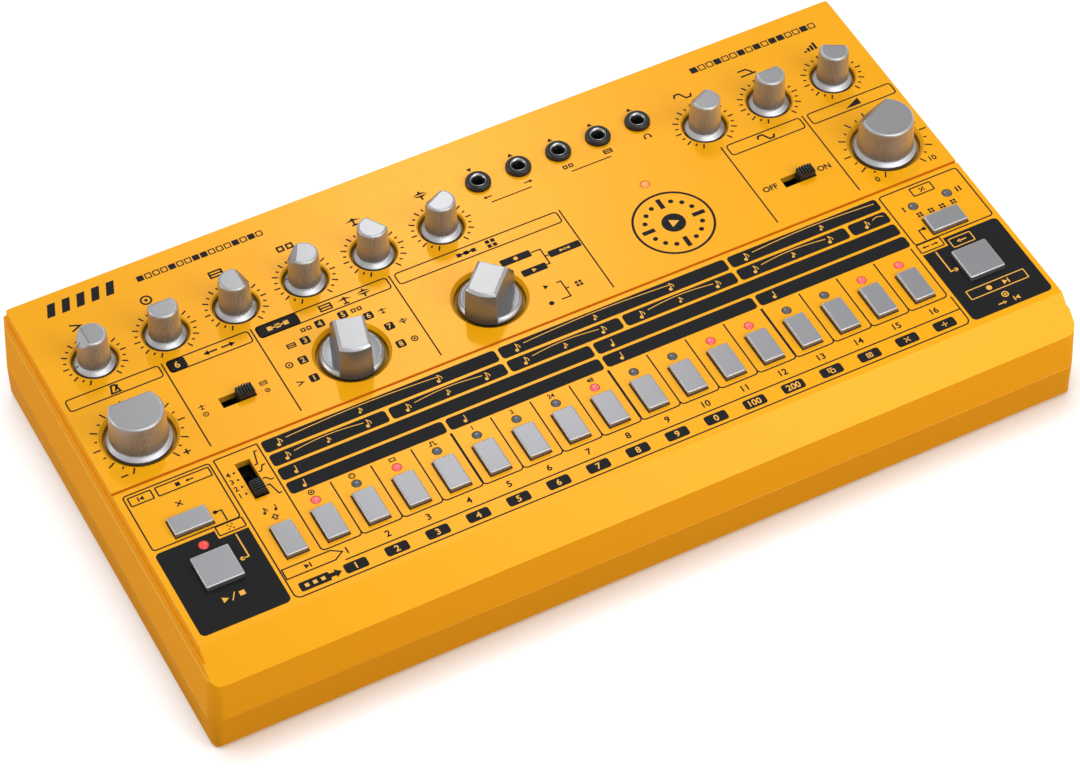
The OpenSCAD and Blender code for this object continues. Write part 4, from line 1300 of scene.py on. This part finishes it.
# Left field: restart, clear and chance, then the start pad.
frame_box(black, -149.0, -33.6, -119.4, -9.6)
frame_box(black, -147.8, -14.8, -139.8, -10.8, 0.5)
frame_box(black, -138.7, -14.8, -120.3, -10.8, 0.5)
sign(black, "to_start", -143.8, -12.8, 1.1)
signs(black, "stop left", -129.5, -12.8, 4, 1.0)
sign(black, "cross", -134.2, -20.0, 1.25, 0.42)
lead(black, -125.9, -28.3, -123.8, -32.9, 0.7)
fill(black, [(-128.9, -38.3), (-129.1, -38.1), (-129.1, -34.8),
             *arc(-147.5, -36.4, 1.6, 90, 180, 5), *arc(-147.3, -68.1, 1.8, 180, 270, 5),
             *arc(-121.1, -68.1, 1.8, 270, 360, 5), (-119.3, -38.3)], key_hole("start_button"),
     disc(*start_lamp, 1.75))
frame_box(black, -128.6, -37.6, -119.3, -33.4, 0.6)
sign(black, "chance", -123.95, -35.5, 1.1)
lead(yellow, -125.9, -48.5, -123.8, -38.9, 0.75)
sign(yellow, "play", -136.9, -60.2, 1.3)
line(yellow, (-135.1, -61.6), (-133.4, -58.8), width=0.34)
sign(yellow, "stop", -131.4, -60.2, 1.2)

# Right field: pattern groups, then the tap pad.
frame_box(black, 119.8, -33.6, 149.6, -9.6)
frame_box(black, 130.6, -14.9, 138.7, -10.9, 0.5)
sign(black, "repeat", 134.65, -12.9, 1.15)
for x in (124.7, 144.7, 145.9):
    line(black, (x, -17.1), (x, -19.3), width=0.55)
signs(black, "grid grid grid grid", 134.6, -22.4, 4.2, 1.0)
lead(black, 126.2, -28.3, 124.3, -32.9, 0.7)
fill(black, [(119.8, -38.3), *arc(121.6, -68.1, 1.8, 180, 270, 5),
             *arc(147.7, -68.1, 1.8, 270, 360, 5), *arc(147.9, -36.4, 1.6, 0, 90, 5),
             (129.4, -34.8), (129.4, -38.3)], key_hole("tap_button"))
frame_box(black, 119.8, -37.6, 128.8, -33.4, 0.6)
signs(black, "left right", 124.3, -35.5, 3.2, 0.95)
lead(yellow, 126.2, -48.4, 124.3, -38.9, 0.75)
frame_box(yellow, 130.4, -40.2, 138.7, -36.0, 0.5, 0.36)
sign(yellow, "left", 134.55, -38.1, 1.3)
frame_box(yellow, 123.7, -62.1, 145.4, -57.9, 0.5, 0.36)
signs(yellow, "record to_next", 134.55, -60.0, 6.2, 1.25)
sign(yellow, "touch", 134.55, -64.7, 1.2, 0.42)
signs(yellow, "right to_start", 134.55, -67.6, 5.4, 1.15, 0.42)

print_layer("print_black", black_ink, black, PANEL_Z)
print_layer("print_yellow", bare_lacquer, yellow, PANEL_Z + INK)


# ---------- finish ----------

for material, names in (
        (solder_mask, "panel_board main_board rear_board"), (cable_vinyl, "ribbon_cable"),
        (zinc_steel, "case_screws board_screws"), (foot_rubber, "rubber_feet"),
        (steel_can, "pot_bodies"), (nickel, "usb_socket rear_jacks"),
        (black_abs, "selector_switch_bodies slide_switch_bodies tact_switches midi_sockets "
                    "power_socket power_switch_body power_slider")):
    for name in names.split():
        mesh = frame["nodes"][name].data
        mesh.materials.clear()
        mesh.materials.append(material)

add_world()
add_floor()
for name, *light in (("back_strip", 22.9, 48.3, 0.05, 0.24, 2.3, 13),
                     ("front_softbox", 145, 45, 0.5, 0.5, 0.8, 0, 1.1),
                     ("low_softbox", 133, 28, 0.6, 0.6, 1.4, 0, 1.0),
                     ("small_softbox", 156, 36, 0.35, 0.35, 1.27, 0, 1.0),
                     ("left_softbox", 292, 12, 0.8, 0.5, 6.2),
                     ("top_softbox", 175, 68, 1.0, 1.0, 9.4)):
    add_softbox(name, *light)
